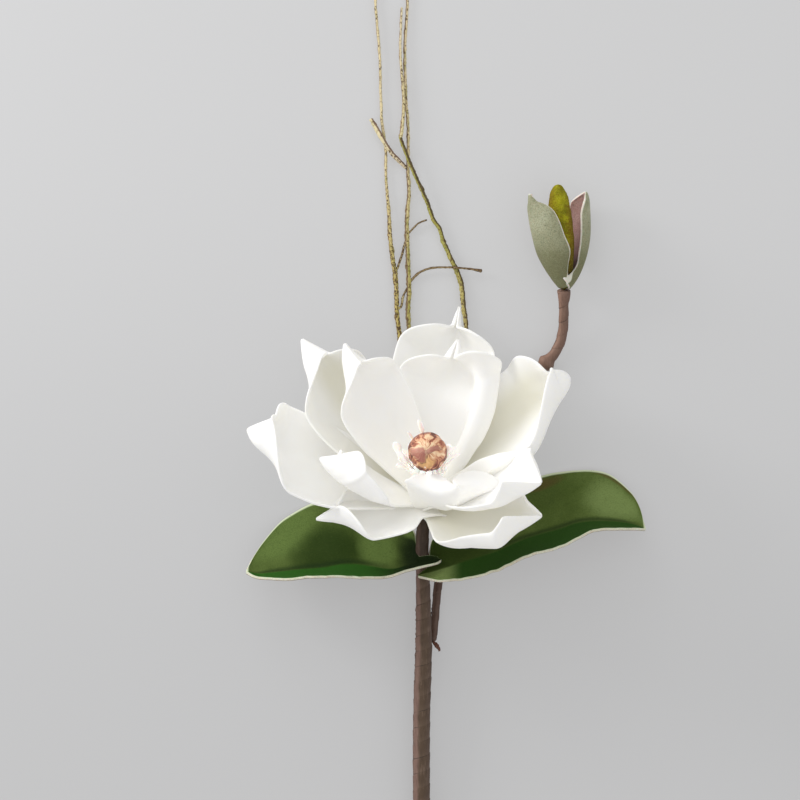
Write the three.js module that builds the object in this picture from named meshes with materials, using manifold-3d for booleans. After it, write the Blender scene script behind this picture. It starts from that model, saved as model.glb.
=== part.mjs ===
// Magnolia branch: an open foam flower on a taped stem, a bud on a side branch,
// two folded leaves and a spray of thin twigs behind the flower.
// The branch lies on its back on the plane z = 0: +X right, +Y up the stem, +Z out of the flower's face.
// All sizes in millimetres.
import * as THREE from 'three';
import { mergeVertices } from 'three/addons/utils/BufferGeometryUtils.js';
import Module from 'manifold-3d';

const wasm = await Module();
wasm.setup();

// ---- driving dimensions -------------------------------------------------------------------
const flowerTilt = 45;        // flower axis leans this far from the stem towards +Z, degrees
const foam = 1.7;             // petal thickness
const leafFoam = 1.6;         // leaf thickness
const gap = 0.3;              // clearance between glued pieces
const ballRadius = 10.7;
const ballHeight = 42;        // ball centre above the flower base, along the flower axis
const ballShift = 1.5;
const stemRadius = 4.8;       // taped stem below the side branch
const stemLength = 226;       // from the flower base to the cut end
const restPlane = -31.5;      // the plane the branch lies on, below the flower base

// ---- small helpers --------------------------------------------------------------------------
const rad = THREE.MathUtils.degToRad;
const smooth = (a, b, x) => THREE.MathUtils.smoothstep(x, a, b);
const mix = (a, b, t) => a + (b - a) * t;
const vec = (x, y, z) => new THREE.Vector3(x, y, z);

// smooth monotone curve through [x, y] keys
function keyed(keys, x) {
  const n = keys.length;
  const slope = (i) => (keys[i + 1][1] - keys[i][1]) / (keys[i + 1][0] - keys[i][0]);
  const tangent = (i) => {
    if (i === 0) return slope(0);
    if (i === n - 1) return slope(n - 2);
    const a = slope(i - 1), b = slope(i);
    return a * b > 0 ? 2 * a * b / (a + b) : 0;
  };
  let i = 0;
  while (i < n - 2 && x > keys[i + 1][0]) i++;
  const h = keys[i + 1][0] - keys[i][0];
  const t = (x - keys[i][0]) / h;
  return (2 * t ** 3 - 3 * t ** 2 + 1) * keys[i][1] + (t ** 3 - 2 * t ** 2 + t) * h * tangent(i)
    + (3 * t ** 2 - 2 * t ** 3) * keys[i + 1][1] + (t ** 3 - t ** 2) * h * tangent(i + 1);
}

// a sheet of rows x columns points with its own thickness, as one closed solid
function slab(rows, thickness) {
  const nt = rows.length, ns = rows[0].length;
  const at = (i, j) => rows[Math.max(0, Math.min(nt - 1, i))][Math.max(0, Math.min(ns - 1, j))];
  const positions = [], index = [];
  for (const side of [0.5, -0.5]) {
    for (let i = 0; i < nt; i++) {
      for (let j = 0; j < ns; j++) {
        const du = at(i + 1, j).clone().sub(at(i - 1, j));
        const dv = at(i, j + 1).clone().sub(at(i, j - 1));
        const p = at(i, j).clone().addScaledVector(du.cross(dv).normalize(), side * thickness(i, j));
        positions.push(p.x, p.y, p.z);
      }
    }
  }
  const quad = (a, b, c, d) => index.push(a, b, c, a, c, d);
  const top = (i, j) => i * ns + j;
  const low = (i, j) => nt * ns + i * ns + j;
  for (let i = 0; i < nt - 1; i++) {
    for (let j = 0; j < ns - 1; j++) {
      quad(top(i, j), top(i + 1, j), top(i + 1, j + 1), top(i, j + 1));
      quad(low(i, j), low(i, j + 1), low(i + 1, j + 1), low(i + 1, j));
    }
    quad(top(i, 0), low(i, 0), low(i + 1, 0), top(i + 1, 0));
    quad(top(i, ns - 1), top(i + 1, ns - 1), low(i + 1, ns - 1), low(i, ns - 1));
  }
  for (let j = 0; j < ns - 1; j++) {
    quad(top(0, j), top(0, j + 1), low(0, j + 1), low(0, j));
    quad(top(nt - 1, j), low(nt - 1, j), low(nt - 1, j + 1), top(nt - 1, j + 1));
  }
  const geometry = new THREE.BufferGeometry();
  geometry.setAttribute('position', new THREE.Float32BufferAttribute(positions, 3));
  geometry.setIndex(index);
  return geometry;
}

// a round or flattened stick along a smooth curve, swelling and tapering by its radii
function stick(points, radii, sides = 8, spacing = 7) {
  const curve = new THREE.CatmullRomCurve3(points.map((p) => vec(...p)), false, 'centripetal');
  const steps = Math.max(2, Math.round(curve.getLength() / spacing));
  const shape = new THREE.Shape();
  for (let k = 0; k < sides; k++) {
    const a = 2 * Math.PI * k / sides;
    if (k) shape.lineTo(Math.cos(a), Math.sin(a)); else shape.moveTo(Math.cos(a), Math.sin(a));
  }
  shape.closePath();
  const geometry = new THREE.ExtrudeGeometry(shape, { steps, extrudePath: curve, bevelEnabled: false });
  const centres = curve.getSpacedPoints(steps);
  const position = geometry.attributes.position;
  const p = vec(0, 0, 0);
  for (let i = 0; i < position.count; i++) {
    p.fromBufferAttribute(position, i);
    let best = 0;
    centres.forEach((c, k) => { if (c.distanceTo(p) < centres[best].distanceTo(p)) best = k; });
    const along = best / steps * (radii.length - 1);
    const k = Math.min(radii.length - 2, Math.floor(along));
    const r = mix(radii[k], radii[k + 1], along - k);
    p.sub(centres[best]).multiplyScalar(r).add(centres[best]);
    position.setXYZ(i, p.x, p.y, p.z);
  }
  return geometry;
}

const solids = [];

function toSolid(geometry) {
  const bare = geometry.clone();
  bare.deleteAttribute('normal');
  bare.deleteAttribute('uv');
  const merged = mergeVertices(bare, 1e-4);
  const solid = new wasm.Manifold(new wasm.Mesh({
    numProp: 3,
    vertProperties: Float32Array.from(merged.attributes.position.array),
    triVerts: Uint32Array.from(merged.index.array),
  }));
  solids.push(solid);
  return solid;
}

function toGeometry(solid) {
  const mesh = solid.getMesh();
  const geometry = new THREE.BufferGeometry();
  geometry.setAttribute('position', new THREE.BufferAttribute(mesh.vertProperties.slice(), 3));
  geometry.setIndex(new THREE.BufferAttribute(mesh.triVerts.slice(), 1));
  geometry.computeVertexNormals();
  return geometry;
}

// cut the cutters away and keep the largest body that is left
function fitted(geometry, cutters) {
  let solid = toSolid(geometry);
  for (const cutter of cutters) solid = solid.subtract(cutter);
  const bodies = solid.decompose();
  bodies.sort((a, b) => b.volume() - a.volume());
  return bodies[0];
}

const finishes = {
  white_foam: new THREE.MeshStandardMaterial({ color: 0xf1f0ea, roughness: 0.6, side: THREE.DoubleSide }),
  copper_ball: new THREE.MeshStandardMaterial({ color: 0xb9714a, roughness: 0.3, metalness: 0.2 }),
  cream_stamens: new THREE.MeshStandardMaterial({ color: 0xe9e2cf, roughness: 0.8 }),
  leaf_foam: new THREE.MeshStandardMaterial({ color: 0x40592f, roughness: 0.6 }),
  bract_foam: new THREE.MeshStandardMaterial({ color: 0x74806a, roughness: 0.7 }),
  green_velvet: new THREE.MeshStandardMaterial({ color: 0x737a2c, roughness: 0.9 }),
  stem_tape: new THREE.MeshStandardMaterial({ color: 0x72594e, roughness: 0.75 }),
  twig_bark: new THREE.MeshStandardMaterial({ color: 0x857436, roughness: 0.7 }),
};

const branch = new THREE.Group();

function addPiece(name, geometry, finish) {
  const mesh = new THREE.Mesh(geometry, finishes[finish].clone());
  mesh.name = name;
  branch.add(mesh);
  return mesh;
}

// ---- petals ---------------------------------------------------------------------------------
// turn: place around the flower axis; open: angles from that axis along the petal;
// half: half width; side: extra width left and right; curl: degrees the sheet has turned inward at five places
// from the midline to each margin; roll: turn about its own midline; bend, hook: sideways sweep of the whole
// petal and of its tip; nose, noseWidth, noseCurl, noseSide: the tip, rolled into a cone; pinch: where the
// margins begin to close on it; bow: how far the shoulders stand past its base.
const petalDefaults = {
  r: 7, h: 0, curl: [[0, 13, 26, 39, 52], [0, 13, 26, 39, 52]], side: [1, 1], nose: .14, noseWidth: .78,
  noseCurl: 135, noseSide: [1, 1], pinch: [.8, .8], bend: 0, hook: 0, roll: 0, groove: .3, rootCurl: 34,
  rootEnd: .35, bow: [.26, .26], round: 2.6, start: .16, claw: 0,
};
const petalStations = [0, .07, .15, .24, .34, .45, .56, .66, .74, .79, .83, .86, .9, .95, 1];
const petalColumns = [-1, -.88, -.72, -.5, -.25, 0, .25, .5, .72, .88, 1];
const curlSteps = 32;         // short steps the curl is added up over, midline to margin

function axisFrame(tilt) {
  const a = rad(tilt);
  return { axis: vec(0, Math.cos(a), Math.sin(a)), up: vec(0, Math.sin(a), -Math.cos(a)), right: vec(1, 0, 0) };
}

function petal(options, frame, origin = vec(0, 0, 0), extra = 0) {
  const q = { ...petalDefaults, ...options };
  const turn = rad(q.turn);
  const out = frame.up.clone().multiplyScalar(Math.cos(turn)).addScaledVector(frame.right, Math.sin(turn));
  const across = frame.up.clone().multiplyScalar(-Math.sin(turn)).addScaledVector(frame.right, Math.cos(turn));
  const shoulder = 1 - q.nose;
  const stations = petalStations.map((t) => (t <= .66 ? t : t < .86
    ? mix(.66, shoulder, (t - .66) / .2) : mix(shoulder, 1, (t - .86) / .14)));
  const open = [0, .33, .66, .88, 1].map((t, i) => [t, q.open[i]]);
  const curls = q.curl.map((keys) => keys.map((degrees, i) => [i / 4, degrees]));
  const rise = [[0, q.start], [.12, q.start * .45 + .29], [.24, .62], [.38, .88], [.54, 1]];
  const centre = origin.clone().addScaledVector(out, q.r).addScaledVector(frame.axis, q.h);
  const direction = (t) => {
    const a = rad(keyed(open, t)), l = rad(q.bend * t ** 1.5 + q.hook * smooth(.84, 1, t));
    const along = frame.axis.clone().multiplyScalar(Math.cos(a)).addScaledVector(out, Math.sin(a));
    const inward = frame.axis.clone().multiplyScalar(Math.sin(a)).addScaledVector(out, -Math.cos(a));
    const side = along.clone().multiplyScalar(-Math.sin(l)).addScaledVector(across, Math.cos(l));
    along.multiplyScalar(Math.cos(l)).addScaledVector(across, Math.sin(l));
    const w = rad(q.roll * smooth(0, .5, t));
    const rolled = side.clone().multiplyScalar(Math.cos(w)).addScaledVector(inward, Math.sin(w));
    inward.multiplyScalar(Math.cos(w)).addScaledVector(side, -Math.sin(w));
    return { along, inward, side: rolled };
  };
  const widths = [];
  const rows = [];
  const reach = extra / 2;
  let last = 0;
  for (const t of stations) {
    const fine = 6;
    for (let k = 0; k < fine && t > 0; k++) {
      const m = mix(last, t, (k + .5) / fine);
      centre.addScaledVector(direction(m).along, q.length * (t - last) / fine);
    }
    last = t;
    const { along, inward, side } = direction(t);
    const nose = q.noseWidth * (t < shoulder ? 1 : Math.max(0, 1 - ((t - shoulder) / q.nose) ** 1.25));
    const u = Math.min(1, Math.max(0, (t - .54) / (shoulder - .54)));
    const claw = 1 - q.claw * Math.sin(Math.PI * Math.min(1, t / .54));
    const body = t < .54 ? keyed(rise, t) * claw : nose + (1 - nose) * Math.sqrt(1 - u ** q.round);
    const narrow = smooth(shoulder * .85, shoulder + .1 * q.nose, t);
    const root = 1 - smooth(0, q.rootEnd, t);
    const half = [0, 1].map((k) => reach + Math.max(.35, q.half * body * mix(q.side[k], q.noseSide[k], narrow)));
    const profiles = half.map((w, k) => {
      const fold = smooth(shoulder * q.pinch[k], shoulder + .18 * q.nose, t);
      const tipCurl = q.noseCurl * Math.min(1, w / 6);
      let x = 0, y = 0;
      const profile = [[0, 0]];
      for (let n = 0; n < curlSteps; n++) {
        const far = (n + .5) / curlSteps;
        const heading = rad(mix(mix(keyed(curls[k], far), q.rootCurl * far, root), tipCurl * far, fold));
        x += Math.cos(heading) * w / curlSteps;
        y += Math.sin(heading) * w / curlSteps;
        profile.push([x, y]);
      }
      return profile;
    });
    const end = t === 0 ? -reach : t === 1 ? reach : 0;
    widths.push(Math.min(...half));
    rows.push(petalColumns.map((s) => {
      const k = s < 0 ? 0 : 1, w = half[k], place = Math.abs(s) * curlSteps;
      const n = Math.min(curlSteps - 1, Math.floor(place));
      const [x, y] = [0, 1].map((i) => mix(profiles[k][n][i], profiles[k][n + 1][i], place - n));
      const dip = q.groove * Math.exp(-((s * w / 3) ** 2)) * smooth(.5 * shoulder, shoulder, t)
        * (1 - .5 * smooth(shoulder, 1, t));
      const bow = q.bow[k] * w * s * s * smooth(.45, shoulder * .93, t)
        * (1 - smooth(shoulder * .92, shoulder + .25 * q.nose, t));
      return centre.clone().addScaledVector(along, end + bow).addScaledVector(side, k ? x : -x)
        .addScaledVector(inward, y - dip);
    }));
  }
  const thick = (i) => Math.min(foam, .35 + widths[i] * .3) + extra;
  return slab(rows, thick);
}

// innermost petals first: the ones glued later are trimmed where they pass their neighbours
const petals = {
  petal_front: { turn: 150, length: 47, half: 27, r: 5, h: 4, open: [50, 56, 26, -4, -14],
    curl: [[18, 14, 10, 6, 4], [34, 36, 40, 46, 54]], side: [1.2, 1.1], nose: .06, noseWidth: .5,
    bend: -8, hook: -10, roll: 12, bow: [.02, .1], start: .24 },
  petal_left_low_inner: { turn: -102, length: 68, half: 22, r: 5, h: 5, open: [42, 64, 50, 38, 22],
    curl: [[0, 28, 58, 80, 95], [0, 12, 24, 36, 50]], side: [1.65, .75], nose: .1, noseWidth: .6,
    noseSide: [2, .6], pinch: [.9, .8], hook: 34, bow: [.12, .1], claw: .3, rootCurl: 16, rootEnd: 1,
    round: 2.2 },
  petal_right_low_inner: { turn: 111, length: 75, half: 25, r: 5, h: 5, open: [42, 66, 56, 52, 46],
    curl: [[0, 13, 26, 39, 52], [0, 10, 24, 44, 66]], side: [.95, 1.2], start: .4, nose: .06, noseWidth: .85,
    noseSide: [.9, 1.3], noseCurl: 100, bend: 5, bow: [.16, .1], round: 2.6 },
  petal_left_high_inner: { turn: -38, length: 92, half: 24, r: 5, h: 6, open: [38, 54, 44, 40, 34],
    side: [1.22, 1], pinch: [.72, .8], bend: -3, hook: 16 },
  petal_back_inner: { turn: 15, length: 88, half: 32, r: 5, h: 4, open: [40, 62, 50, 44, 34],
    curl: [[0, 12, 24, 36, 48], [0, -5, 95, -22, -72]], side: [1, 1.25], noseWidth: .45, bow: [.24, .44] },
  petal_left_high_outer: { turn: -47, length: 109, half: 27, open: [45, 68, 52, 48, 36], side: [1.3, 1],
    pinch: [.68, .8], bend: 5 },
  petal_right_high_outer: { turn: 56, length: 105, half: 31, open: [45, 72, 62, 66, 80],
    curl: [[0, 12, 20, 8, -20], [0, 10, 26, 66, 106]], side: [1, 1.4], pinch: [.8, .58] },
  petal_left_outer: { turn: -84, length: 101, half: 30, open: [50, 76, 66, 62, 58],
    curl: [[0, 9, 18, 34, 54], [0, 13, 26, 39, 52]], side: [1.45, .95], nose: .09, noseWidth: .85,
    pinch: [.7, .84], noseSide: [1.4, 1], bend: 9, hook: 26 },
  petal_left_low_outer: { turn: -116, length: 73, half: 19, r: -5, open: [54, 76, 80, 78, 74],
    curl: [[0, 10, 24, 40, 56], [0, 10, 22, 36, 50]], side: [1.6, .72], nose: .12, noseWidth: .6,
    noseSide: [1.5, .6], roll: 14, pinch: [.78, .74], bow: [.1, 0], start: .7, claw: -.1, round: 2.6 },
  petal_right_low_outer: { turn: 120, length: 72, half: 25, open: [52, 72, 66, 60, 54],
    curl: [[0, 13, 26, 39, 50], [0, 6, 24, 90, 130]], side: [.62, 1.55], nose: .09, noseWidth: .85,
    noseCurl: 120, round: 3.5, noseSide: [.45, 1.35], roll: -20, rootCurl: 40, rootEnd: .8,
    bow: [.12, .12], start: .3, claw: -.25 },
  petal_back_outer: { turn: 12, length: 109, half: 27, open: [50, 64, 54, 47, 36], side: [1.3, 1.12],
    nose: .11, noseWidth: .25, round: 3 },
};

const flower = axisFrame(flowerTilt);
const onAxis = (h, x = 0) => flower.axis.clone().multiplyScalar(h).add(vec(x, 0, 0));
const petalCutters = [];
for (const [name, options] of Object.entries(petals)) {
  const solid = fitted(petal(options, flower), petalCutters);
  petalCutters.push(toSolid(petal(options, flower, vec(0, 0, 0), 2 * gap)));
  addPiece(name, toGeometry(solid), 'white_foam');
}

// ---- heart of the flower ----------------------------------------------------------------------
const facing = new THREE.Quaternion().setFromUnitVectors(vec(0, 1, 0), flower.axis);
const lathe = (profile, segments) => new THREE.LatheGeometry(
  profile.map(([r, h]) => new THREE.Vector2(r, h)), segments);
const ball = new THREE.SphereGeometry(ballRadius, 24, 14);
ball.applyQuaternion(facing).translate(...onAxis(ballHeight, ballShift).toArray());
addPiece('seed_ball', toGeometry(toSolid(ball)), 'copper_ball');

const fringeTeeth = 16;
const fringe = lathe([[0, 10], [2.6, 10], [4, 22], [8.5, 30], [15.5, 39], [14.6, 40], [8, 32], [3, 30.8],
  [0, 30.8]], fringeTeeth * 2);
{
  const position = fringe.attributes.position;
  for (let i = 0; i < position.count; i++) {
    const x = position.getX(i), z = position.getZ(i), r = Math.hypot(x, z);
    const notch = Math.round(Math.atan2(z, x) / Math.PI * fringeTeeth) % 2 !== 0 && r > 12;
    const k = notch ? .72 : 1;
    position.setXYZ(i, x * k, position.getY(i) - (notch ? 3.4 : 0), z * k);
  }
}
fringe.applyQuaternion(facing).translate(ballShift, 0, 0);
addPiece('stamen_fringe', toGeometry(fitted(fringe, petalCutters)), 'cream_stamens');

const cone = lathe([[0, -6], [4.4, -6], [5.8, -2], [6, 2], [5, 6], [3.4, 9.6], [0, 9.6]], 20);
cone.applyQuaternion(facing);
addPiece('receptacle', toGeometry(fitted(cone, petalCutters)), 'stem_tape');

// ---- stems --------------------------------------------------------------------------------------
// each stick is trimmed against the ones made before it, which leaves the clearance of a glued joint
const keeps = [];
function addStick(name, points, radii, finish, sides, spacing, cutters = keeps) {
  addPiece(name, toGeometry(fitted(stick(points, radii, sides, spacing), cutters)), finish);
  keeps.push(toSolid(stick(points, radii.map((r) => r + gap), sides, spacing)));
}

const stemEnd = restPlane + stemRadius;
addStick('main_stem', [[0, -4.5, -4.5], [-.2, -8.5, -8.4], [-.8, -16, -12.4], [-1.2, -30, -15],
  [-1.2, -60, -17.5], [-1.2, -110, mix(-17.5, stemEnd, .3)], [-1.2, -170, mix(-17.5, stemEnd, .66)],
  [-1.2, -stemLength, stemEnd]], [3.5, 3.6, 3.7, 3.9, 4.4, 4.8, 4.8, 4.8, 4.8], 'stem_tape', 14, 10);

const low = restPlane + 2.9;
addStick('side_branch', [[3.6, -84, -22.2], [5.6, -74, -23.4], [7, -62, -24.6], [8.8, -47, -26.4], [11, -34, low], [17, -14, low],
  [33, 24, low], [56, 62, low], [66, 75.5, low + .2], [70, 80, low + .8], [73.6, 84.4, low + 1.4],
  [76.2, 89.6, low + 2], [77.8, 96, -25], [78.2, 105, -21.5], [78, 112, -18.8], [78, 118.6, -16.4]],
[2.5, 2.5, 2.6, 2.7, 2.8, 2.8, 2.8, 2.9, 3.5, 3, 2.9, 2.8, 2.6], 'stem_tape', 10, 8);

// ---- twigs behind the flower ----------------------------------------------------------------------
// [x, y, height above the rest plane]
const lying = (points) => points.map(([x, y, z]) => [x, y, restPlane + z]);
const twigs = {
  twig_left: [[[-4.8, -15, 16.4], [-6.4, -8, 11], [-8, 2, 3.6], [-9, 20, 1.7], [-10.5, 50, 1.7],
    [-12.6, 83, 1.7], [-13.2, 92, 1.8], [-14.9, 106, 1.7], [-15.4, 123, 1.7], [-18.3, 145, 1.8],
    [-19.4, 161.5, 1.7], [-21.1, 183.5, 1.2], [-21.1, 198, 1.2], [-23.3, 212.6, 1.3], [-23.9, 226, 1.2],
    [-24.7, 253, 1.6], [-27, 282, 1.3], [-26, 306, 1.1]],
  [1.4, 1.5, 1.4, 1.5, 1.4, 1.4, .9, .9, .8, .8, .7]],
  twig_centre: [[[-1, -15, 14.4], [-1.6, -8, 9.6], [-3, 3, 2.6], [-5, 30, 1.7], [-7, 60, 1.7],
    [-8.2, 97, 1.7], [-8.7, 106, 1.8], [-8.2, 120.4, 1.7], [-8.7, 135.5, 1.7], [-9.3, 160, 1.6],
    [-8.2, 174, 1.2], [-8.7, 185.5, 1.2], [-8.7, 210, 1.3], [-9.8, 226, 1.2], [-10.5, 253, 1.4],
    [-9, 286, 1.3], [-11, 313, 1.1]],
  [1.4, 1.4, 1.5, 1.5, 1.4, 1.4, 1, .9, .9, .8, .7]],
  twig_right: [[[3, -15, 16.4], [4.8, -8, 11], [7.5, 3, 3.6], [12, 20, 1.8], [18, 50, 1.8],
    [22, 80, 1.8], [23.8, 99.3, 1.8], [22.2, 112, 1.9], [21, 123.3, 1.8], [15.4, 137, 1.9],
    [11.5, 145.7, 1.9], [8.7, 154.3, 2.4], [5.9, 158.2, 2.6], [1.4, 170.2, 3.2], [-3.7, 181.4, 4],
    [-8.7, 193, 4.6], [-12.7, 203.7, 4.2], [-13.6, 206.4, 4]],
  [1.4, 1.4, 1.5, 1.5, 1.4, 1.6, 1.4, 1.3, 1.2]],
  twig_tip: [[[-12.9, 204.3, 4.1], [-12.1, 208.6, 4], [-11.6, 214, 3.8], [-11.2, 226, 3.6],
    [-13, 253, 3.2], [-12.2, 278, 2.4]], [1, .9, .8, .7, .6]],
  twig_cross: [[[-29.5, 215.4, 3.4], [-25.8, 208.5, 3.8], [-21.6, 201.6, 4], [-17.1, 195.3, 3.4],
    [-13, 191.2, 2.4], [-9.3, 187.6, 1.4]], [1.1, 1.2, 1.1, 1.2, 1]],
  sprig_upper: [[[-9, 150.7, 1.6], [-7.1, 152.6, 1.6], [-2.6, 157, 1.9], [2, 158.8, 2.2]],
    [.9, .8, .7]],
  sprig_lower: [[[-8.4, 122.8, 1.6], [-7.1, 124.5, 1.6], [-2.6, 129, 1.8], [4.2, 131.7, 2.4],
    [14.9, 132, 4.1], [18.8, 131.8, 4.3], [26.1, 131.2, 3.4], [32.8, 130.1, 2.8]],
  [1, .9, .9, .8, .8]],
  link_upper: [[[-16.4, 128.8, 1.6], [-14.9, 131.3, 1.6], [-12.1, 139.1, 1.7], [-10.4, 145.8, 1.7],
    [-9.3, 148.8, 1.7]], [.8, .8, .8]],
  link_lower: [[[-14.8, 108.3, 1.6], [-12.5, 110.6, 1.6], [-11.6, 115.5, 1.7], [-8.8, 121.1, 1.7]],
    [.8, .8, .8]],
};
for (const [name, [points, radii]] of Object.entries(twigs)) {
  addStick(name, lying(points), radii, 'twig_bark', 7, name.startsWith('twig') ? 9 : 4);
}

// ---- bud ----------------------------------------------------------------------------------------
const budBase = vec(78, 117.8, -16.8);
const budAxis = vec(-.06, 1, .04).normalize();
const budRight = vec(1, .06, 0).normalize();
const bud = { axis: budAxis, up: budAxis.clone().cross(budRight).normalize(), right: budRight };
const bracts = {
  bract_left: { turn: -132, length: 57, half: 12.5, r: 2.2, h: 2.2, open: [46, 25, 14, 10, 4],
    curl: [[0, 18, 36, 54, 72], [0, 16, 32, 47, 63]], rootCurl: 63, nose: .1, noseWidth: .3,
    noseCurl: 63, groove: .6, bow: [.1, .1], round: 2, start: .2 },
  bract_right: { turn: 84, length: 58, half: 12.5, r: 2.2, h: 2.2, open: [50, 22, 2, -6, -18],
    curl: [[0, 18, 37, 56, 75], [0, 18, 37, 56, 75]], rootCurl: 63, nose: .1, noseWidth: .3,
    noseCurl: 63, groove: .6, bow: [.1, .1], round: 2, start: .2 },
};
const bractCutters = [];
for (const [name, options] of Object.entries(bracts)) {
  addPiece(name, toGeometry(fitted(petal(options, bud, budBase), [...bractCutters, keeps[1]])), 'bract_foam');
  bractCutters.push(toSolid(petal(options, bud, budBase, 2 * gap)));
}
const core = lathe([[0, 1.2], [2.4, 1.6], [4.6, 8], [7, 18], [8.2, 30], [7.6, 42], [5.4, 52], [2.4, 58], [0, 59.4]],
  16);
core.applyQuaternion(new THREE.Quaternion().setFromUnitVectors(vec(0, 1, 0), budAxis));
core.translate(...budBase.toArray());
addPiece('bud_core', toGeometry(fitted(core, [...bractCutters, keeps[1]])), 'green_velvet');

// ---- leaves ---------------------------------------------------------------------------------------
// a leaf is a trough folded along its midrib: the rear half leans back, the front half stands forward
// keys along the leaf: rear and front half widths, and the lean of each half in degrees
const leaves = {
  leaf_left: {
    midrib: [[7.5, -27.5, -9.6], [-1.2, -28.6, -10.2], [-14, -30, -10.4], [-35, -32.6, -10.6],
      [-57, -34.2, -10.8], [-78, -36.4, -11], [-92, -38, -11.2], [-98.5, -37, -11.4]],
    rear: [[0, 1.5], [.1, 1.5], [.14, 8], [.2, 20], [.32, 34], [.48, 40], [.64, 40], [.8, 32], [.92, 18], [1, .8]],
    front: [[0, 3], [.08, 8], [.2, 16], [.36, 22], [.55, 24], [.75, 20], [.9, 11], [1, .8]],
    rearLean: [[0, 29], [.5, 29.5], [1, 28]], frontLean: [[0, 20], [.5, 14], [1, 14]],
  },
  leaf_right: {
    midrib: [[-4.5, -41, -11], [8, -37, -10.6], [25, -28, -10.8], [42, -19.6, -11], [69, -11.8, -11.5],
      [87, -9.6, -12], [106, -10.4, -12.5], [117, -11.8, -13], [123, -12, -13.4]],
    rear: [[0, 1.2], [.1, 3], [.2, 17], [.32, 28], [.45, 34], [.56, 35.5], [.7, 34.5], [.84, 31], [.94, 21], [1, .8]],
    front: [[0, 1.2], [.1, 8], [.25, 19], [.4, 25], [.62, 25], [.8, 18], [.92, 10], [1, .8]],
    rearLean: [[0, 27], [.4, 32], [.56, 33], [1, 32]], frontLean: [[0, 24], [.3, 33], [.6, 24], [.8, 13], [1, 12]],
  },
};
const leafStations = [0, .05, .1, .16, .23, .32, .42, .52, .62, .72, .81, .88, .94, .98, 1];
const leafColumns = [-1, -.66, -.33, 0, .25, .5, .75, 1];

function leaf({ midrib, rear, front, rearLean, frontLean }) {
  const curve = new THREE.CatmullRomCurve3(midrib.map((p) => vec(...p)), false, 'centripetal');
  const rows = leafStations.map((t) => {
    const middle = curve.getPointAt(t);
    return leafColumns.map((s) => {
      const back = s >= 0;
      const w = keyed(back ? rear : front, t);
      const lean = rad(keyed(back ? rearLean : frontLean, t));
      const along = back ? vec(0, Math.cos(lean), -Math.sin(lean)) : vec(0, -Math.sin(lean), Math.cos(lean));
      const above = back ? vec(0, Math.sin(lean), Math.cos(lean)) : vec(0, Math.cos(lean), Math.sin(lean));
      const d = Math.abs(s) * w;
      return middle.clone().addScaledVector(along, d).addScaledVector(above, .12 * w * (s * s - Math.abs(s)));
    });
  });
  return slab(rows, () => leafFoam);
}
for (const [name, shape] of Object.entries(leaves)) {
  addPiece(name, toGeometry(fitted(leaf(shape), keeps)), 'leaf_foam');
  keeps.push(fitted(leaf(shape), []));
}

// ---- rest the branch on z = 0, centred over the origin ------------------------------------------------
const object = new THREE.Group();
object.add(branch);
const box = new THREE.Box3().setFromObject(branch);
const centre = box.getCenter(vec(0, 0, 0));
branch.position.set(-centre.x, -centre.y, -box.min.z);
for (const solid of solids) solid.delete();

export default object;
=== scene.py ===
import bisect, bpy, math, random
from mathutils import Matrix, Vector, noise


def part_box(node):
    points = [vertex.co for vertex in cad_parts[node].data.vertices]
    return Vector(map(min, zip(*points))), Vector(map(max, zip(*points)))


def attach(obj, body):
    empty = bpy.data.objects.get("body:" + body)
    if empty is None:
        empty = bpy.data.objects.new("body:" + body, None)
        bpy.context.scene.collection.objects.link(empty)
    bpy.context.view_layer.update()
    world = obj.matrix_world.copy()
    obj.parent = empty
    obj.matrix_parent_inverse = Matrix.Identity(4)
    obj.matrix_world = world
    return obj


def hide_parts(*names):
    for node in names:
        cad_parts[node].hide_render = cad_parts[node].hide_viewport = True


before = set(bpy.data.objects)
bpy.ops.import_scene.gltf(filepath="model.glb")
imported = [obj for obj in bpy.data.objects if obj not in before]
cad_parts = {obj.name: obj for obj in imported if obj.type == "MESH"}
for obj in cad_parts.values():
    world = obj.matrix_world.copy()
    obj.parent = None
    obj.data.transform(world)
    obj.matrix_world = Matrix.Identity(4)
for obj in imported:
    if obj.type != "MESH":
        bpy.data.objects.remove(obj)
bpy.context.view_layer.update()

random.seed(7)

# the flower's base and axis, found from the seed ball; sizes below are millimetres from that base
flower = {
    "tilt": 45,              # degrees the flower's axis leans out from the stem
    "ballRadius": 10.7,
    "ballHeight": 42,
    "ballShift": 1.5,
    "foam": 1.4,             # petal thickness
    "grid": (28, 72),        # a petal's faces across and along
}
mm = 0.001
tilt = math.radians(flower["tilt"])
flowerAxis = Vector((0, math.cos(tilt), math.sin(tilt)))
flowerUp = Vector((0, math.sin(tilt), -math.cos(tilt)))
rightward = Vector((1, 0, 0))
aside = rightward * flower["ballShift"]
ballLow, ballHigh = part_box("seed_ball")
ballPlace = (ballLow + ballHigh) / 2
flowerBase = ballPlace - mm * (flowerAxis * flower["ballHeight"] + aside)


def place(point):
    return flowerBase + mm * Vector(point)


def smooth(a, b, x):
    t = min(1, max(0, (x - a) / (b - a)))
    return t * t * (3 - 2 * t)


def mix(a, b, t):
    return a + (b - a) * t


# a screen colour, each part 0..255, as the shader's linear one
def paint(*colour):
    return tuple(c / 255 / 12.92 if c < 10 else ((c / 255 + 0.055) / 1.055) ** 2.4 for c in colour)


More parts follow.
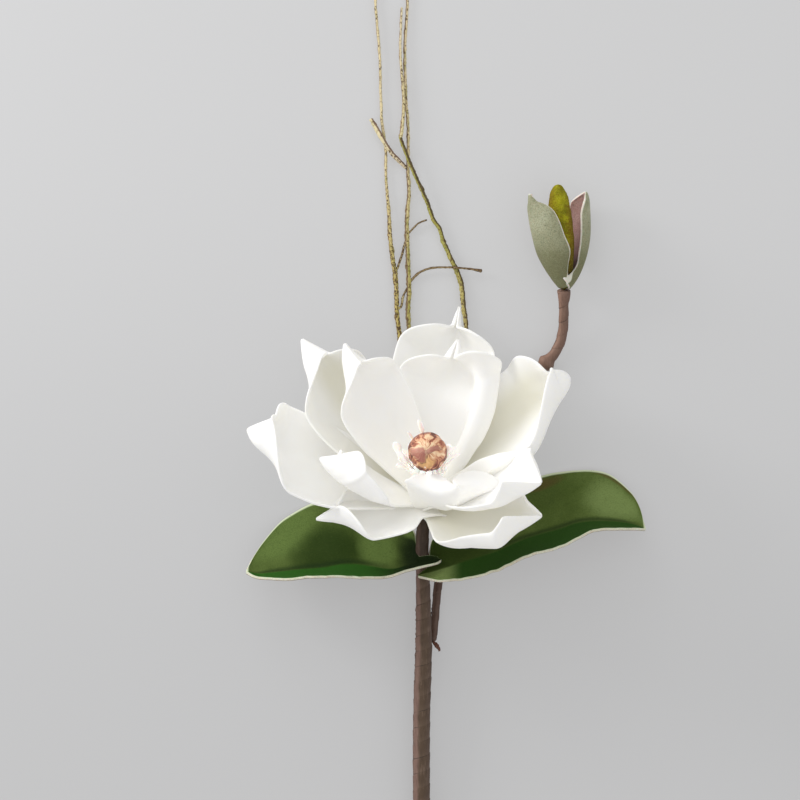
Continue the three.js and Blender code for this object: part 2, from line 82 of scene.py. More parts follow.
# smooth curve through (x, y) keys that never overshoots them
def keyed(keys, x):
    last = len(keys) - 1
    slope = [(b[1] - a[1]) / (b[0] - a[0]) for a, b in zip(keys, keys[1:])]

    def tangent(i):
        if i in (0, last):
            return slope[0 if i == 0 else -1]
        a, b = slope[i - 1], slope[i]
        return 2 * a * b / (a + b) if a * b > 0 else 0

    i = 0
    while i < last - 1 and x > keys[i + 1][0]:
        i += 1
    h = keys[i + 1][0] - keys[i][0]
    t = (x - keys[i][0]) / h
    return ((2 * t**3 - 3 * t**2 + 1) * keys[i][1] + (t**3 - 2 * t**2 + t) * h * tangent(i)
            + (3 * t**2 - 2 * t**3) * keys[i + 1][1] + (t**3 - t**2) * h * tangent(i + 1))


# a smooth curve through points, read by its share of the length
class SmoothPath:
    def __init__(self, points, fine=24):
        knots = [Vector(p) for p in points]
        knots = [2 * knots[0] - knots[1]] + knots + [2 * knots[-1] - knots[-2]]
        self.dots = []
        for a, b, c, d in zip(knots, knots[1:], knots[2:], knots[3:]):
            e, f, g = (math.sqrt((q - p).length) for p, q in ((a, b), (b, c), (c, d)))
            leave = ((b - a) / e - (c - a) / (e + f) + (c - b) / f) * f
            arrive = ((c - b) / f - (d - b) / (f + g) + (d - c) / g) * f
            for k in range(fine):
                t = k / fine
                self.dots.append(b + leave * t + (3 * (c - b) - 2 * leave - arrive) * t**2
                                 + (2 * (b - c) + leave + arrive) * t**3)
        self.dots.append(knots[-2])
        self.reach = [0.0]
        for p, q in zip(self.dots, self.dots[1:]):
            self.reach.append(self.reach[-1] + (q - p).length)
        self.length = self.reach[-1]

    def at(self, share):
        far = min(1, max(0, share)) * self.length
        k = min(len(self.dots) - 2, max(0, bisect.bisect_right(self.reach, far) - 1))
        step = self.reach[k + 1] - self.reach[k]
        return self.dots[k].lerp(self.dots[k + 1], (far - self.reach[k]) / step)

    def heading(self, share):
        return (self.at(share + 0.004) - self.at(share - 0.004)).normalized()


# a socket whose arithmetic adds Math nodes
class Wire:
    def __init__(self, shader, socket):
        self.shader, self.socket = shader, socket

    def maths(self, operation, *others):
        return self.shader.node("ShaderNodeMath", {"operation": operation}, self, *others)

    def __add__(self, other):
        return self.maths("ADD", other)

    def __radd__(self, other):
        return self.maths("ADD", other)

    def __sub__(self, other):
        return self.maths("SUBTRACT", other)

    def __rsub__(self, other):
        return self.shader.node("ShaderNodeMath", {"operation": "SUBTRACT"}, other, self)

    def __mul__(self, other):
        return self.maths("MULTIPLY", other)

    def __rmul__(self, other):
        return self.maths("MULTIPLY", other)

    def __pow__(self, other):
        return self.maths("POWER", other)

    def __abs__(self):
        return self.maths("ABSOLUTE")

    def sine(self):
        return self.maths("SINE")

    def fraction(self):
        return self.maths("FRACT")

    def most(self, other):
        return self.maths("MAXIMUM", other)

    def least(self, other):
        return self.maths("MINIMUM", other)

    # 0 below a, 1 above b and smooth between; falls instead where a is above b
    def rise(self, a, b):
        if a > b:
            return 1 - self.rise(b, a)
        smoothly = {"interpolation_type": "SMOOTHSTEP"}
        return self.shader.node("ShaderNodeMapRange", smoothly, self, a, b, 0.0, 1.0)


# a new material; look: its colours by name, each part 0..255; fixed: what is the same all over it
class Shader:
    def __init__(self, name, look, **fixed):
        self.look = {tone: paint(*colour) for tone, colour in look.items() if colour}
        self.material = bpy.data.materials.new(name)
        self.material.use_nodes = True
        self.tree = self.material.node_tree
        self.tree.nodes.clear()
        self.surface = self.tree.nodes.new("ShaderNodeBsdfPrincipled")
        ending = self.tree.nodes.new("ShaderNodeOutputMaterial")
        self.tree.links.new(self.surface.outputs[0], ending.inputs["Surface"])
        for key, value in fixed.items():
            self.surface.inputs[key.replace("_", " ")].default_value = value

    # a node of that kind: its settings first, then its sockets' values or links by position or by name
    def node(self, kind, settings=None, *values, output=0, **named):
        made = self.tree.nodes.new(kind)
        for key, value in (settings or {}).items():
            if key == "stops":
                while len(made.color_ramp.elements) < len(value):
                    made.color_ramp.elements.new(0.5)
                for element, (where, tone) in zip(made.color_ramp.elements, value):
                    element.position, element.color = where, (*self.look[tone], 1)
            else:
                setattr(made, key, value)
        for key, value in [*enumerate(values), *named.items()]:
            if isinstance(key, str):
                key = next(s.identifier for s in made.inputs if s.identifier.lower() == key.lower())
                self.feed(next(s for s in made.inputs if s.identifier == key), value)
            else:
                self.feed(made.inputs[key], value)
        if isinstance(output, str):
            return Wire(self, next(s for s in made.outputs if s.identifier == output))
        return Wire(self, made.outputs[output])

    # a link, a colour by its name or linear parts, or a number
    def feed(self, socket, value):
        if isinstance(value, Wire):
            self.tree.links.new(value.socket, socket)
        elif socket.type == "RGBA":
            socket.default_value = (*self.look.get(value, value), 1)
        else:
            socket.default_value = value

    def drive(self, name, value):
        self.feed(self.surface.inputs[name], value)

    def place(self):
        return self.node("ShaderNodeTexCoord", output=3)

    # the sheet's own two directions, each 0..1
    def sheetPlace(self):
        return self.parts(self.node("ShaderNodeTexCoord", output=2))[:2]

    def clouds(self, where, scale, detail=3.0, rough=0.55, bent=0.0):
        return self.node("ShaderNodeTexNoise", None, vector=where, scale=scale, detail=detail,
                         roughness=rough, distortion=bent)

    def cells(self, where, scale):
        return self.node("ShaderNodeTexVoronoi", None, vector=where, scale=scale)

    def stretch(self, where, scale):
        return self.node("ShaderNodeMapping", None, vector=where, scale=scale)

    def blend(self, share, one, other):
        return self.node("ShaderNodeMix", {"data_type": "RGBA"}, output="Result_Color",
                         Factor_Float=share, A_Color=one, B_Color=other)

    # tones laid over a ground one after another, each where its share says
    def layers(self, colour, *tones):
        for share, tone in tones:
            colour = self.blend(share, colour, tone)
        return colour

    def vectors(self, operation, *values, **named):
        return self.node("ShaderNodeVectorMath", {"operation": operation}, *values, **named)

    # x, y and z of a vector
    def parts(self, where):
        first = self.node("ShaderNodeSeparateXYZ", None, where)
        return [first] + [Wire(self, first.socket.node.outputs[k]) for k in (1, 2)]

    def bump(self, height, strength, distance):
        self.drive("Normal", self.node("ShaderNodeBump", None, strength=strength, distance=distance,
                                       height=height))


def only(piece):
    if bpy.context.object and bpy.context.object.mode != "OBJECT":
        bpy.ops.object.mode_set(mode="OBJECT")
    bpy.ops.object.select_all(action="DESELECT")
    if piece:
        piece.select_set(True)
        bpy.context.view_layer.objects.active = piece


def applied(piece, kind, **settings):
    only(piece)
    modifier = piece.modifiers.new(kind.title(), kind)
    for key, value in settings.items():
        setattr(modifier, key, value)
    bpy.ops.object.modifier_apply(modifier=modifier.name)


# a finished piece keeps its place in its mesh and joins the frame
def finished(piece, name, nodes, materials=()):
    only(piece)
    bpy.ops.object.transform_apply(location=True, rotation=True, scale=True)
    bpy.ops.object.shade_smooth()
    piece.name = piece.data.name = name
    for material in materials:
        piece.data.materials.append(material)
    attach(piece, "root")
    if nodes:
        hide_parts(*nodes)


# a grid laid onto a surface and thickened into foam with soft edges; point(across -1..1, along 0..1)
def foamSheet(point, grid, thickness, materials):
    only(None)
    bpy.ops.mesh.primitive_grid_add(x_subdivisions=grid[0], y_subdivisions=grid[1], size=2, calc_uvs=True)
    piece = bpy.context.object
    for vertex in piece.data.vertices:
        vertex.co = place(point(min(1, max(-1, vertex.co.x)), min(1, max(0, (vertex.co.y + 1) / 2))))
    for material in materials:
        piece.data.materials.append(material)
    layers = len(materials) > 1
    applied(piece, "SOLIDIFY", thickness=thickness * mm, offset=0, use_quality_normals=True,
            material_offset=int(layers), material_offset_rim=2 * int(layers))
    applied(piece, "SUBSURF", levels=1, render_levels=1)
    return piece


# a grid rolled round a path into a closed stick; radius(share of the length, turn 0..1, millimetres along)
def rolledStick(points, radius, around, pace):
    path = SmoothPath(points)
    rings = max(3, round(path.length / pace))
    only(None)
    bpy.ops.mesh.primitive_grid_add(x_subdivisions=around, y_subdivisions=rings, size=2, calc_uvs=True)
    piece = bpy.context.object
    frames = []
    side = Vector((0, 0, 1)).cross(path.heading(0))
    for k in range(rings + 1):
        heading = path.heading(k / rings)
        side = (side - heading * side.dot(heading)).normalized()
        frames.append((path.at(k / rings), side, heading.cross(side)))
    for vertex in piece.data.vertices:
        share, turn = (vertex.co.y + 1) / 2, (vertex.co.x + 1) / 2
        centre, side, up = frames[round(share * rings)]
        spin = 2 * math.pi * turn
        r = radius(share, turn % 1, share * path.length)
        vertex.co = place(centre + (side * math.cos(spin) + up * math.sin(spin)) * r)
    only(piece)
    bpy.ops.object.mode_set(mode="EDIT")
    bpy.ops.mesh.select_all(action="SELECT")
    bpy.ops.mesh.remove_doubles(threshold=1e-6)
    bpy.ops.mesh.fill_holes(sides=0)
    bpy.ops.mesh.select_all(action="SELECT")
    bpy.ops.mesh.normals_make_consistent(inside=False)
    bpy.ops.object.mode_set(mode="OBJECT")
    return piece


# radii spread evenly along the length, read at a share of it
def tapered(radii, share):
    far = share * (len(radii) - 1)
    k = min(len(radii) - 2, int(far))
    return mix(radii[k], radii[k + 1], far - k)


def whiteFoam(name, creamAndShade, shade):
    look = {"white": (250, 249, 246), "grey": (245, 244, 239), "root": (232, 227, 200),
            "shade": (222, 219, 202)}
    # a faint warm glow is painted light that lifts the foam's shade
    shader = Shader(name, look, Specular_IOR_Level=0.3, IOR=1.4, Subsurface_Weight=0.3,
                    Subsurface_Scale=0.005, Subsurface_Radius=(1, 0.95, 0.75),
                    Emission_Color=(1, 0.99, 0.95, 1), Emission_Strength=0.06)
    across, along = shader.sheetPlace()
    where = shader.place()
    mottle = shader.clouds(where, 55.0)
    grain = shader.clouds(where, 1500.0, 2.0, 0.6)
    pores = shader.cells(where, 1900.0)
    middle = 1 - abs(across - 0.5) * 2
    # cream toward the root: partly the foam's own tint, partly painted warm shade deep in the cup
    root = (along.rise(0.62, 0.0) * (0.45 + 0.55 * middle.rise(0.0, 0.8)) * creamAndShade).least(1.0)
    colour = shader.layers("white", (mottle.rise(0.35, 0.7) * 0.5 + grain * 0.12, "grey"), (root, "root"))
    if shade:                # a painted shadow band along one side: its place across, its half width and its strength
        band = (abs(across - shade[0]) * (1 / shade[1])).rise(1.0, 0.2) * along.rise(1.0, 0.75)
        colour = shader.blend(band * shade[2], colour, "shade")
    shader.drive("Base Color", colour)
    shader.drive("Roughness", 0.5 + grain * 0.14 + mottle * 0.06)
    shader.bump(grain * 0.6 + pores.rise(0.0, 0.5) * 0.4 + mottle * 0.5, 0.22, 0.00012)
    return shader.material


# pairs are the left and right half, as seen with the tip up.
# turn: degrees round the axis, clockwise from the top; r, h: the root's distance from the axis and height;
# open: degrees that it leans from the axis at five places along it; half: half width; side: extra width;
# curl: degrees the sheet has turned inward at five places from the midline to each margin;
# roll: turn about its own midline; bend, hook: sideways sweep of the petal and of its pinched tip;
# nose, noseWidth, noseCurl, noseSide: the tip's share of the length, its width, its curl and extra width;
# pinch: where each margin starts to roll into the tip, as a share of the way to the shoulder;
# bow: how far the shoulders stand past the tip's base; round: how square they are; groove: midline dip;
# start: width at the root; claw: narrowing below the middle; rootCurl, rootEnd: degrees of hollow at the root
# and where it ends; wave, seed: ripple; creamAndShade: how creamy the root is, partly the foam's own tint and
# partly painted warm shade in the cup; shade: a painted shadow band (see whiteFoam)
petalDefaults = {
    "r": 7, "h": 0, "curl": ((0, 13, 26, 39, 52), (0, 13, 26, 39, 52)), "side": (1, 1), "nose": 0.14,
    "noseWidth": 0.78, "noseCurl": 172, "noseSide": (1, 1), "pinch": (0.8, 0.8), "bend": 0, "hook": 0,
    "roll": 0, "groove": 0.3, "rootCurl": 34, "rootEnd": 0.35, "bow": (0.26, 0.26), "round": 2.6,
    "start": 0.16, "claw": 0, "wave": 0.4, "seed": 0, "creamAndShade": 0.22, "shade": None,
}
petals = {
    "petalFront": {
        "node": "petal_front", "turn": 150, "length": 47, "half": 27, "r": 5, "h": 4,
        "open": (50, 56, 26, -4, -14), "curl": ((18, 14, 10, 6, 4), (34, 36, 40, 46, 54)),
        "side": (1.2, 1.1), "nose": 0.06, "noseWidth": 0.5, "bend": -8, "hook": -10, "roll": 12,
        "bow": (0.02, 0.1), "start": 0.24},
    "petalLeftLowInner": {
        "node": "petal_left_low_inner", "turn": -102, "length": 68, "half": 22, "r": 5, "h": 5,
        "open": (42, 64, 50, 38, 22), "curl": ((0, 28, 58, 80, 95), (0, 12, 24, 36, 50)),
        "side": (1.65, 0.75), "nose": 0.1, "noseWidth": 0.6, "noseSide": (2, 0.6), "pinch": (0.9, 0.8),
        "hook": 34, "bow": (0.12, 0.1), "claw": 0.3, "rootCurl": 16, "rootEnd": 1, "round": 2.2},
    "petalRightLowInner": {
        "node": "petal_right_low_inner", "turn": 111, "length": 75, "half": 25, "r": 5, "h": 5,
        "open": (42, 66, 56, 52, 46), "curl": ((0, 13, 26, 39, 52), (0, 10, 24, 44, 66)),
        "side": (0.95, 1.2), "start": 0.4, "nose": 0.06, "noseWidth": 0.85, "noseSide": (0.9, 1.3),
        "noseCurl": 100, "bend": 5, "bow": (0.16, 0.1), "round": 2.6},
    "petalLeftHighInner": {
        "node": "petal_left_high_inner", "turn": -38, "length": 92, "half": 24, "r": 5, "h": 6,
        "open": (38, 54, 44, 40, 34), "side": (1.22, 1), "noseSide": (1.3, 0.75), "pinch": (0.68, 0.8),
        "bend": -3, "hook": 16},
    "petalBackInner": {
        "node": "petal_back_inner", "turn": 15, "length": 88, "half": 32, "r": 5, "h": 4,
        "open": (40, 62, 50, 44, 34), "curl": ((0, 12, 24, 36, 48), (0, -5, 95, -22, -72)),
        "side": (1, 1.25), "noseWidth": 0.45, "bow": (0.24, 0.44), "wave": 1.2, "seed": 3},
    "petalLeftHighOuter": {
        "node": "petal_left_high_outer", "turn": -47, "length": 109, "half": 27,
        "open": (45, 68, 52, 48, 36), "side": (1.3, 1), "noseWidth": 0.95, "noseSide": (1.3, 0.75),
        "pinch": (0.7, 0.8), "bend": 5, "creamAndShade": 0.9, "shade": (0.62, 0.3, 0.8)},
    "petalRightHighOuter": {
        "node": "petal_right_high_outer", "turn": 56, "length": 102, "half": 31,
        "open": (45, 72, 62, 66, 80), "curl": ((0, 12, 20, 8, -20), (0, 10, 26, 66, 106)), "side": (1, 1.4),
        "nose": 0.1, "noseWidth": 0.85, "noseSide": (0.8, 1.2), "hook": -24, "pinch": (0.8, 0.58),
        "creamAndShade": 0.9, "shade": (0.36, 0.34, 0.95)},
    "petalLeftOuter": {
        "node": "petal_left_outer", "turn": -84, "length": 101, "half": 30, "open": (50, 76, 66, 62, 58),
        "curl": ((0, 9, 18, 34, 54), (0, 13, 26, 39, 52)), "side": (1.45, 0.95), "nose": 0.09,
        "noseWidth": 0.85, "pinch": (0.7, 0.84), "noseSide": (1.4, 1), "bend": 9, "hook": 26},
    "petalLeftLowOuter": {
        "node": "petal_left_low_outer", "turn": -116, "length": 73, "half": 19, "r": -5,
        "open": (54, 76, 80, 78, 74), "curl": ((0, 10, 24, 40, 56), (0, 10, 22, 36, 50)),
        "side": (1.6, 0.72), "nose": 0.12, "noseWidth": 0.6, "noseSide": (1.5, 0.6), "roll": 14,
        "pinch": (0.78, 0.74), "bow": (0.1, 0), "start": 0.7, "claw": -0.1, "round": 2.6},
    "petalRightLowOuter": {
        "node": "petal_right_low_outer", "turn": 120, "length": 72, "half": 25,
        "open": (52, 72, 66, 60, 54), "curl": ((0, 13, 26, 39, 50), (0, 6, 24, 90, 130)),
        "side": (0.62, 1.55), "nose": 0.09, "noseWidth": 0.85, "noseCurl": 120, "round": 3.5,
        "noseSide": (0.45, 1.35), "roll": -20, "rootCurl": 40, "rootEnd": 0.8, "bow": (0.12, 0.12),
        "start": 0.3, "claw": -0.25, "creamAndShade": 0.9, "shade": (0.5, 0.45, 0.7)},
    "petalBackOuter": {
        "node": "petal_back_outer", "turn": 12, "length": 109, "half": 27, "open": (50, 64, 54, 47, 36),
        "side": (1.3, 1.12), "nose": 0.11, "noseWidth": 0.25, "round": 3},
}


# the middle surface of a petal, as a function of (across -1..1, along 0..1); q: its numbers
def petalSurface(q, axis, up, right, origin=Vector((0, 0, 0))):
    turn = math.radians(q["turn"])
    out = up * math.cos(turn) + right * math.sin(turn)
    sideways = -up * math.sin(turn) + right * math.cos(turn)
    shoulder = 1 - q["nose"]
    openKeys = list(zip((0, 0.33, 0.66, 0.88, 1), q["open"]))
    rise = [(0, q["start"]), (0.12, q["start"] * 0.45 + 0.29), (0.24, 0.62), (0.38, 0.88), (0.54, 1)]
    curls = [list(zip((0, 0.25, 0.5, 0.75, 1), keys)) for keys in q["curl"]]
    steps = 32

    def direction(t):
        lean = math.radians(keyed(openKeys, t))
        sweep = math.radians(q["bend"] * t**1.5 + q["hook"] * smooth(0.84, 1, t))
        roll = math.radians(q["roll"] * smooth(0, 0.5, t))
        along = axis * math.cos(lean) + out * math.sin(lean)
        inward = axis * math.sin(lean) - out * math.cos(lean)
        side = sideways * math.cos(sweep) - along * math.sin(sweep)
        along = along * math.cos(sweep) + sideways * math.sin(sweep)
        rolled = side * math.cos(roll) + inward * math.sin(roll)
        return along, inward * math.cos(roll) - side * math.sin(roll), rolled

    fine = 240
    centres = [origin + out * q["r"] + axis * q["h"]]
    for k in range(fine):
        centres.append(centres[-1] + direction((k + 0.5) / fine)[0] * (q["length"] / fine))
    curlAt = [[keyed(keys, (k + 0.5) / steps) for k in range(steps)] for keys in curls]
    rows = {}

    def row(t):
        key = round(t, 6)
        if key not in rows:
            k = min(fine - 1, int(t * fine))
            nose = q["noseWidth"] * (1 if t < shoulder else max(0, 1 - ((t - shoulder) / q["nose"]) ** 1.25))
            u = min(1, max(0, (t - 0.54) / (shoulder - 0.54)))
            claw = 1 - q["claw"] * math.sin(math.pi * min(1, t / 0.54))
            body = keyed(rise, t) * claw if t < 0.54 else nose + (1 - nose) * math.sqrt(1 - u ** q["round"])
            narrow = smooth(shoulder * 0.85, shoulder + 0.1 * q["nose"], t)
            folds = [smooth(shoulder * begins, shoulder + 0.18 * q["nose"], t) for begins in q["pinch"]]
            root = 1 - smooth(0, q["rootEnd"], t)
            halves, profiles = [], []
            for j in (0, 1):
                w = max(0.35, q["half"] * body * mix(q["side"][j], q["noseSide"][j], narrow))
                x = y = 0
                profile = [(0, 0)]
                for n in range(steps):
                    far = (n + 0.5) / steps
                    heading = mix(mix(curlAt[j][n], q["rootCurl"] * far, root), q["noseCurl"] * far, folds[j])
                    x += math.cos(math.radians(heading)) * w / steps
                    y += math.sin(math.radians(heading)) * w / steps
                    profile.append((x, y))
                halves.append(w)
                profiles.append(profile)
            rows[key] = centres[k].lerp(centres[k + 1], t * fine - k), direction(t), halves, profiles
        return rows[key]

    def point(s, t):
        centre, (along, inward, side), halves, profiles = row(t)
        k = 0 if s < 0 else 1
        w, far = halves[k], abs(s) * steps
        n = min(steps - 1, int(far))
        x = mix(profiles[k][n][0], profiles[k][n + 1][0], far - n) * (1 if k else -1)
        y = mix(profiles[k][n][1], profiles[k][n + 1][1], far - n)
        dip = (q["groove"] * math.exp(-((s * w / 3) ** 2)) * smooth(0.5 * shoulder, shoulder, t)
               * (1 - 0.5 * smooth(shoulder, 1, t)))
        bow = (q["bow"][k] * w * s * s * smooth(0.45, shoulder * 0.93, t)
               * (1 - smooth(shoulder * 0.92, shoulder + 0.25 * q["nose"], t)))
        wave = q["wave"] * noise.noise((s * 2.1 + q["seed"], t * 3.3, q["seed"] * 7.7)) * smooth(0.1, 0.4, t)
        return centre + side * x + inward * (y - dip + wave) + along * bow

    return point


def makePetals():
    for number, (name, options) in enumerate(petals.items()):
        petal = {**petalDefaults, "seed": number + 1, **options}
        surface = petalSurface(petal, flowerAxis, flowerUp, rightward)
        piece = foamSheet(surface, flower["grid"], flower["foam"], [])
        foam = whiteFoam(name + "Foam", petal["creamAndShade"], petal["shade"])
        finished(piece, name, [petal["node"]], [foam])
    print("petals:", len(petals))


makePetals()

heart = {
    "lumps": 0.5,            # how far the ball's skin strays
    # rosy folded-over flaps: place, half sizes and lean on the ball's face, by its radius
    "flaps": [
        {"at": (-0.44, -0.05), "half": (0.48, 0.35), "lean": -0.2},
        {"at": (0.3, 0.12), "half": (0.44, 0.19), "lean": 0.5},
    ],
    "pinch": 0.05,           # where the ball's folds meet, left of and above its middle, by its radius
    "rings": (
        {"strips": 18, "radius": 8.6, "height": 31.5, "lean": (0.25, 0.5), "size": (0.7, 0.95)},
        {"strips": 17, "radius": 10.5, "height": 31, "lean": (0.3, 0.75), "size": (0.8, 1.15)},
    ),
    "standing": [            # single taller strips, from root to tip
        ((-12.5, 25.6, 27), (-17, 39.5, 36)), ((-9.4, 23.4, 30), (-15, 32.6, 38)),
        ((-10, 20.8, 28), (-17.6, 24.6, 35)), ((0.4, 37, 23), (-3.6, 48.8, 33)),
        ((11.6, 27.6, 28), (15.8, 36.4, 36)), ((-5.4, 35.5, 24), (-9.6, 41.6, 31)),
    ],
    "strips": [              # length, half width, curl and twist of each kind
        (10.5, 1.5, 0.5, 0.3), (9.5, 1.9, -0.4, -0.4), (12.5, 1, 0.3, 0.7), (8.5, 1.7, 0.8, -0.2),
        (10, 1.3, -0.7, 0.5),
    ],
    "stripShape": [(0, 0.45), (0.3, 0.62), (0.62, 1), (0.86, 0.72), (0.97, 0.3), (1, 0.12)],   # half widths
    "stripFoam": 0.6,
    "standingLength": 12.5,  # what the taller strips are scaled from
    "cushion": {"height": 23, "depth": 18, "below": 3, "above": 11, "edge": 1.2},    # the strips root in it
    "fibre": {"from": (-9.3, 24.2, 36), "to": (-4.6, 19.8, 38), "radius": 0.2},
}


def foldedSkin():
    look = {"dark": (104, 50, 34), "brown": (163, 92, 68), "rust": (214, 150, 112), "peach": (240, 196, 155),
            "cream": (250, 220, 180), "rose": (170, 106, 94), "roseLight": (216, 158, 138),
            "honey": (246, 196, 128)}
    shader = Shader("foldedSkin", look, Coat_Roughness=0.3, Specular_IOR_Level=0.4)
    where = shader.place()
    sway = shader.node("ShaderNodeTexNoise", None, output=1, vector=where, scale=150.0)
    sway = shader.vectors("SCALE", shader.vectors("SUBTRACT", sway, (0.5, 0.5, 0.5)), scale=0.008)
    fromCentre = shader.vectors("SUBTRACT", shader.vectors("ADD", where, sway), tuple(ballPlace))
    size = 1 / (flower["ballRadius"] * mm)
    x, y, z = (part * size for part in shader.parts(fromCentre))
    # skin drawn together in folds that run out from a pinch near the middle
    angle = (y - heart["pinch"]).maths("ARCTAN2", x + heart["pinch"])
    radius = (x * x + y * y) ** 0.5
    folded = angle.sine() * 2.1 + radius * 0.7
    crossed = angle.maths("COSINE") * 2.1
    spokes = shader.node("ShaderNodeCombineXYZ", None, folded, crossed, z * 1.5)
    streak = shader.clouds(spokes, 1.7, 2.0, 0.5, 0.4)
    fine = shader.clouds(spokes, 4.2, 1.5, 0.45)
    tone = (streak - 0.5) * 2.4 + (fine - 0.5) * 0.35 + 0.58 - radius.rise(0.72, 1.0) * 0.42 + y * 0.1
    stops = [(0.06, "dark"), (0.3, "brown"), (0.52, "rust"), (0.74, "peach"), (1.0, "cream")]
    colour = shader.node("ShaderNodeValToRGB", {"stops": stops}, tone)
    honey = ((x + 0.08) * (x + 0.08) * 4.5 + (y + 0.52) * (y + 0.52) * 6.0).rise(0.9, 0.1)
    colour = shader.blend(honey * 0.75, colour, "honey")
    lift = tone * 0.4
    for flap in heart["flaps"]:
        c, s = math.cos(flap["lean"]), math.sin(flap["lean"])
        dx, dy = x - flap["at"][0], y - flap["at"][1]
        u = (dx * c + dy * s) * (1 / flap["half"][0])
        v = (dy * c - dx * s) * (1 / flap["half"][1])
        inside = u * u + v * v + (streak - 0.5) * 1.3
        rim = inside.rise(0.84, 1.0) * inside.rise(1.3, 1.08)
        # each flap: painted light from rose to lit rose, a cream painted highlight on its upper rim, a
        # painted shadow below
        lit = ((v * 0.6 - u * 0.5) + (fine - 0.5) * 0.7).rise(-0.4, 0.8)
        colour = shader.layers(colour, (inside.rise(1.2, 0.6) * 0.85, shader.blend(lit, "rose", "roseLight")),
                               (rim * (v - u * 0.4).rise(0.1, 0.8) * 0.7, "cream"),
                               (rim * (v - u * 0.3).rise(-0.1, -0.7) * 0.55, "dark"))
        lift = lift + inside.rise(1.1, 0.9) * 0.8
    shader.drive("Base Color", colour)
    shader.drive("Roughness", 0.5 - 0.16 * tone)
    shader.drive("Coat Weight", 0.15 + 0.25 * streak)
    shader.bump(lift + fine * 0.5, 0.7, 0.0006)
    return shader.material


def makeBall():
    only(None)
    radius = flower["ballRadius"] * mm
    bpy.ops.mesh.primitive_ico_sphere_add(subdivisions=5, radius=radius, location=ballPlace)
    piece = bpy.context.object
    bpy.ops.object.mode_set(mode="EDIT")
    bpy.ops.mesh.select_all(action="SELECT")
    bpy.ops.transform.vertex_random(offset=heart["lumps"] * mm, uniform=0.15, normal=0.9, seed=5)
    bpy.ops.mesh.vertices_smooth(factor=0.5, repeat=8)
    bpy.ops.object.mode_set(mode="OBJECT")
    for vertex in piece.data.vertices:      # long shallow folds running out from the middle of the face
        out = vertex.co.normalized()
        turn = math.atan2(out.y - heart["pinch"], out.x + heart["pinch"])
        fold = noise.noise((2.4 * math.cos(turn), 2.4 * math.sin(turn), out.z * 0.8))
        fold *= smooth(0.15, 0.7, 1 - out.z)
        vertex.co += out * mm * (0.3 * noise.noise(out * 3) + 0.9 * fold)
    applied(piece, "SUBSURF", levels=1, render_levels=1)
    finished(piece, "seedBall", ["seed_ball"], [foldedSkin()])
    print("ball")


def stripShade():
    look = {"white": (252, 250, 246), "shade": (236, 230, 214)}
    # a glow is painted light that whitens the strips
    shader = Shader("stamenPaper", look, Roughness=0.75, Specular_IOR_Level=0.25, Subsurface_Weight=0.4,
                    Subsurface_Scale=0.003, Emission_Color=(1, 0.98, 0.94, 1), Emission_Strength=0.22)
    across, along = shader.sheetPlace()
    fray = shader.clouds(shader.place(), 700.0, 3.0, 0.65)
    # painted shade toward each strip's root, with random mottling
    shaded = (along.rise(0.4, 0.0) * 0.5 + fray.rise(0.55, 0.8) * 0.25).least(1.0)
    shader.drive("Base Color", shader.blend(shaded, "white", "shade"))
    shader.bump(fray + (across * 40.0).sine() * 0.2, 0.4, 0.0002)
    return shader.material


# one hollowed leaf-shaped strip, rooted at the origin and growing along +Z, curling over +X
def makeStrip(length, width, curl, twist):
    only(None)
    bpy.ops.mesh.primitive_grid_add(x_subdivisions=6, y_subdivisions=12, size=2, calc_uvs=True)
    piece = bpy.context.object
    for vertex in piece.data.vertices:
        s, t = vertex.co.x, (vertex.co.y + 1) / 2
        w = width * keyed(heart["stripShape"], t)
        lean, spin = curl * t, twist * t
        centre = Vector((length * (1 - math.cos(curl * t)) / curl, 0, length * math.sin(curl * t) / curl))
        side = Vector((math.sin(spin) * math.cos(lean), math.cos(spin), -math.sin(spin) * math.sin(lean)))
        hollow = Vector((-math.cos(lean), 0, math.sin(lean))) * w * 0.6 * s * s
        vertex.co = (centre + side * s * w + hollow) * mm
    applied(piece, "SOLIDIFY", thickness=heart["stripFoam"] * mm, offset=0)
    return piece


# a copy of a strip planted at a root: tip is where it grows, swing where it curls
def planted(source, root, tip, swing, scale):
    only(source)
    bpy.ops.object.duplicate()
    strip = bpy.context.object
    for vertex in strip.data.vertices:
        x, y, z = vertex.co * scale
        vertex.co = root + swing * x + tip.cross(swing) * y + tip * z
    return strip


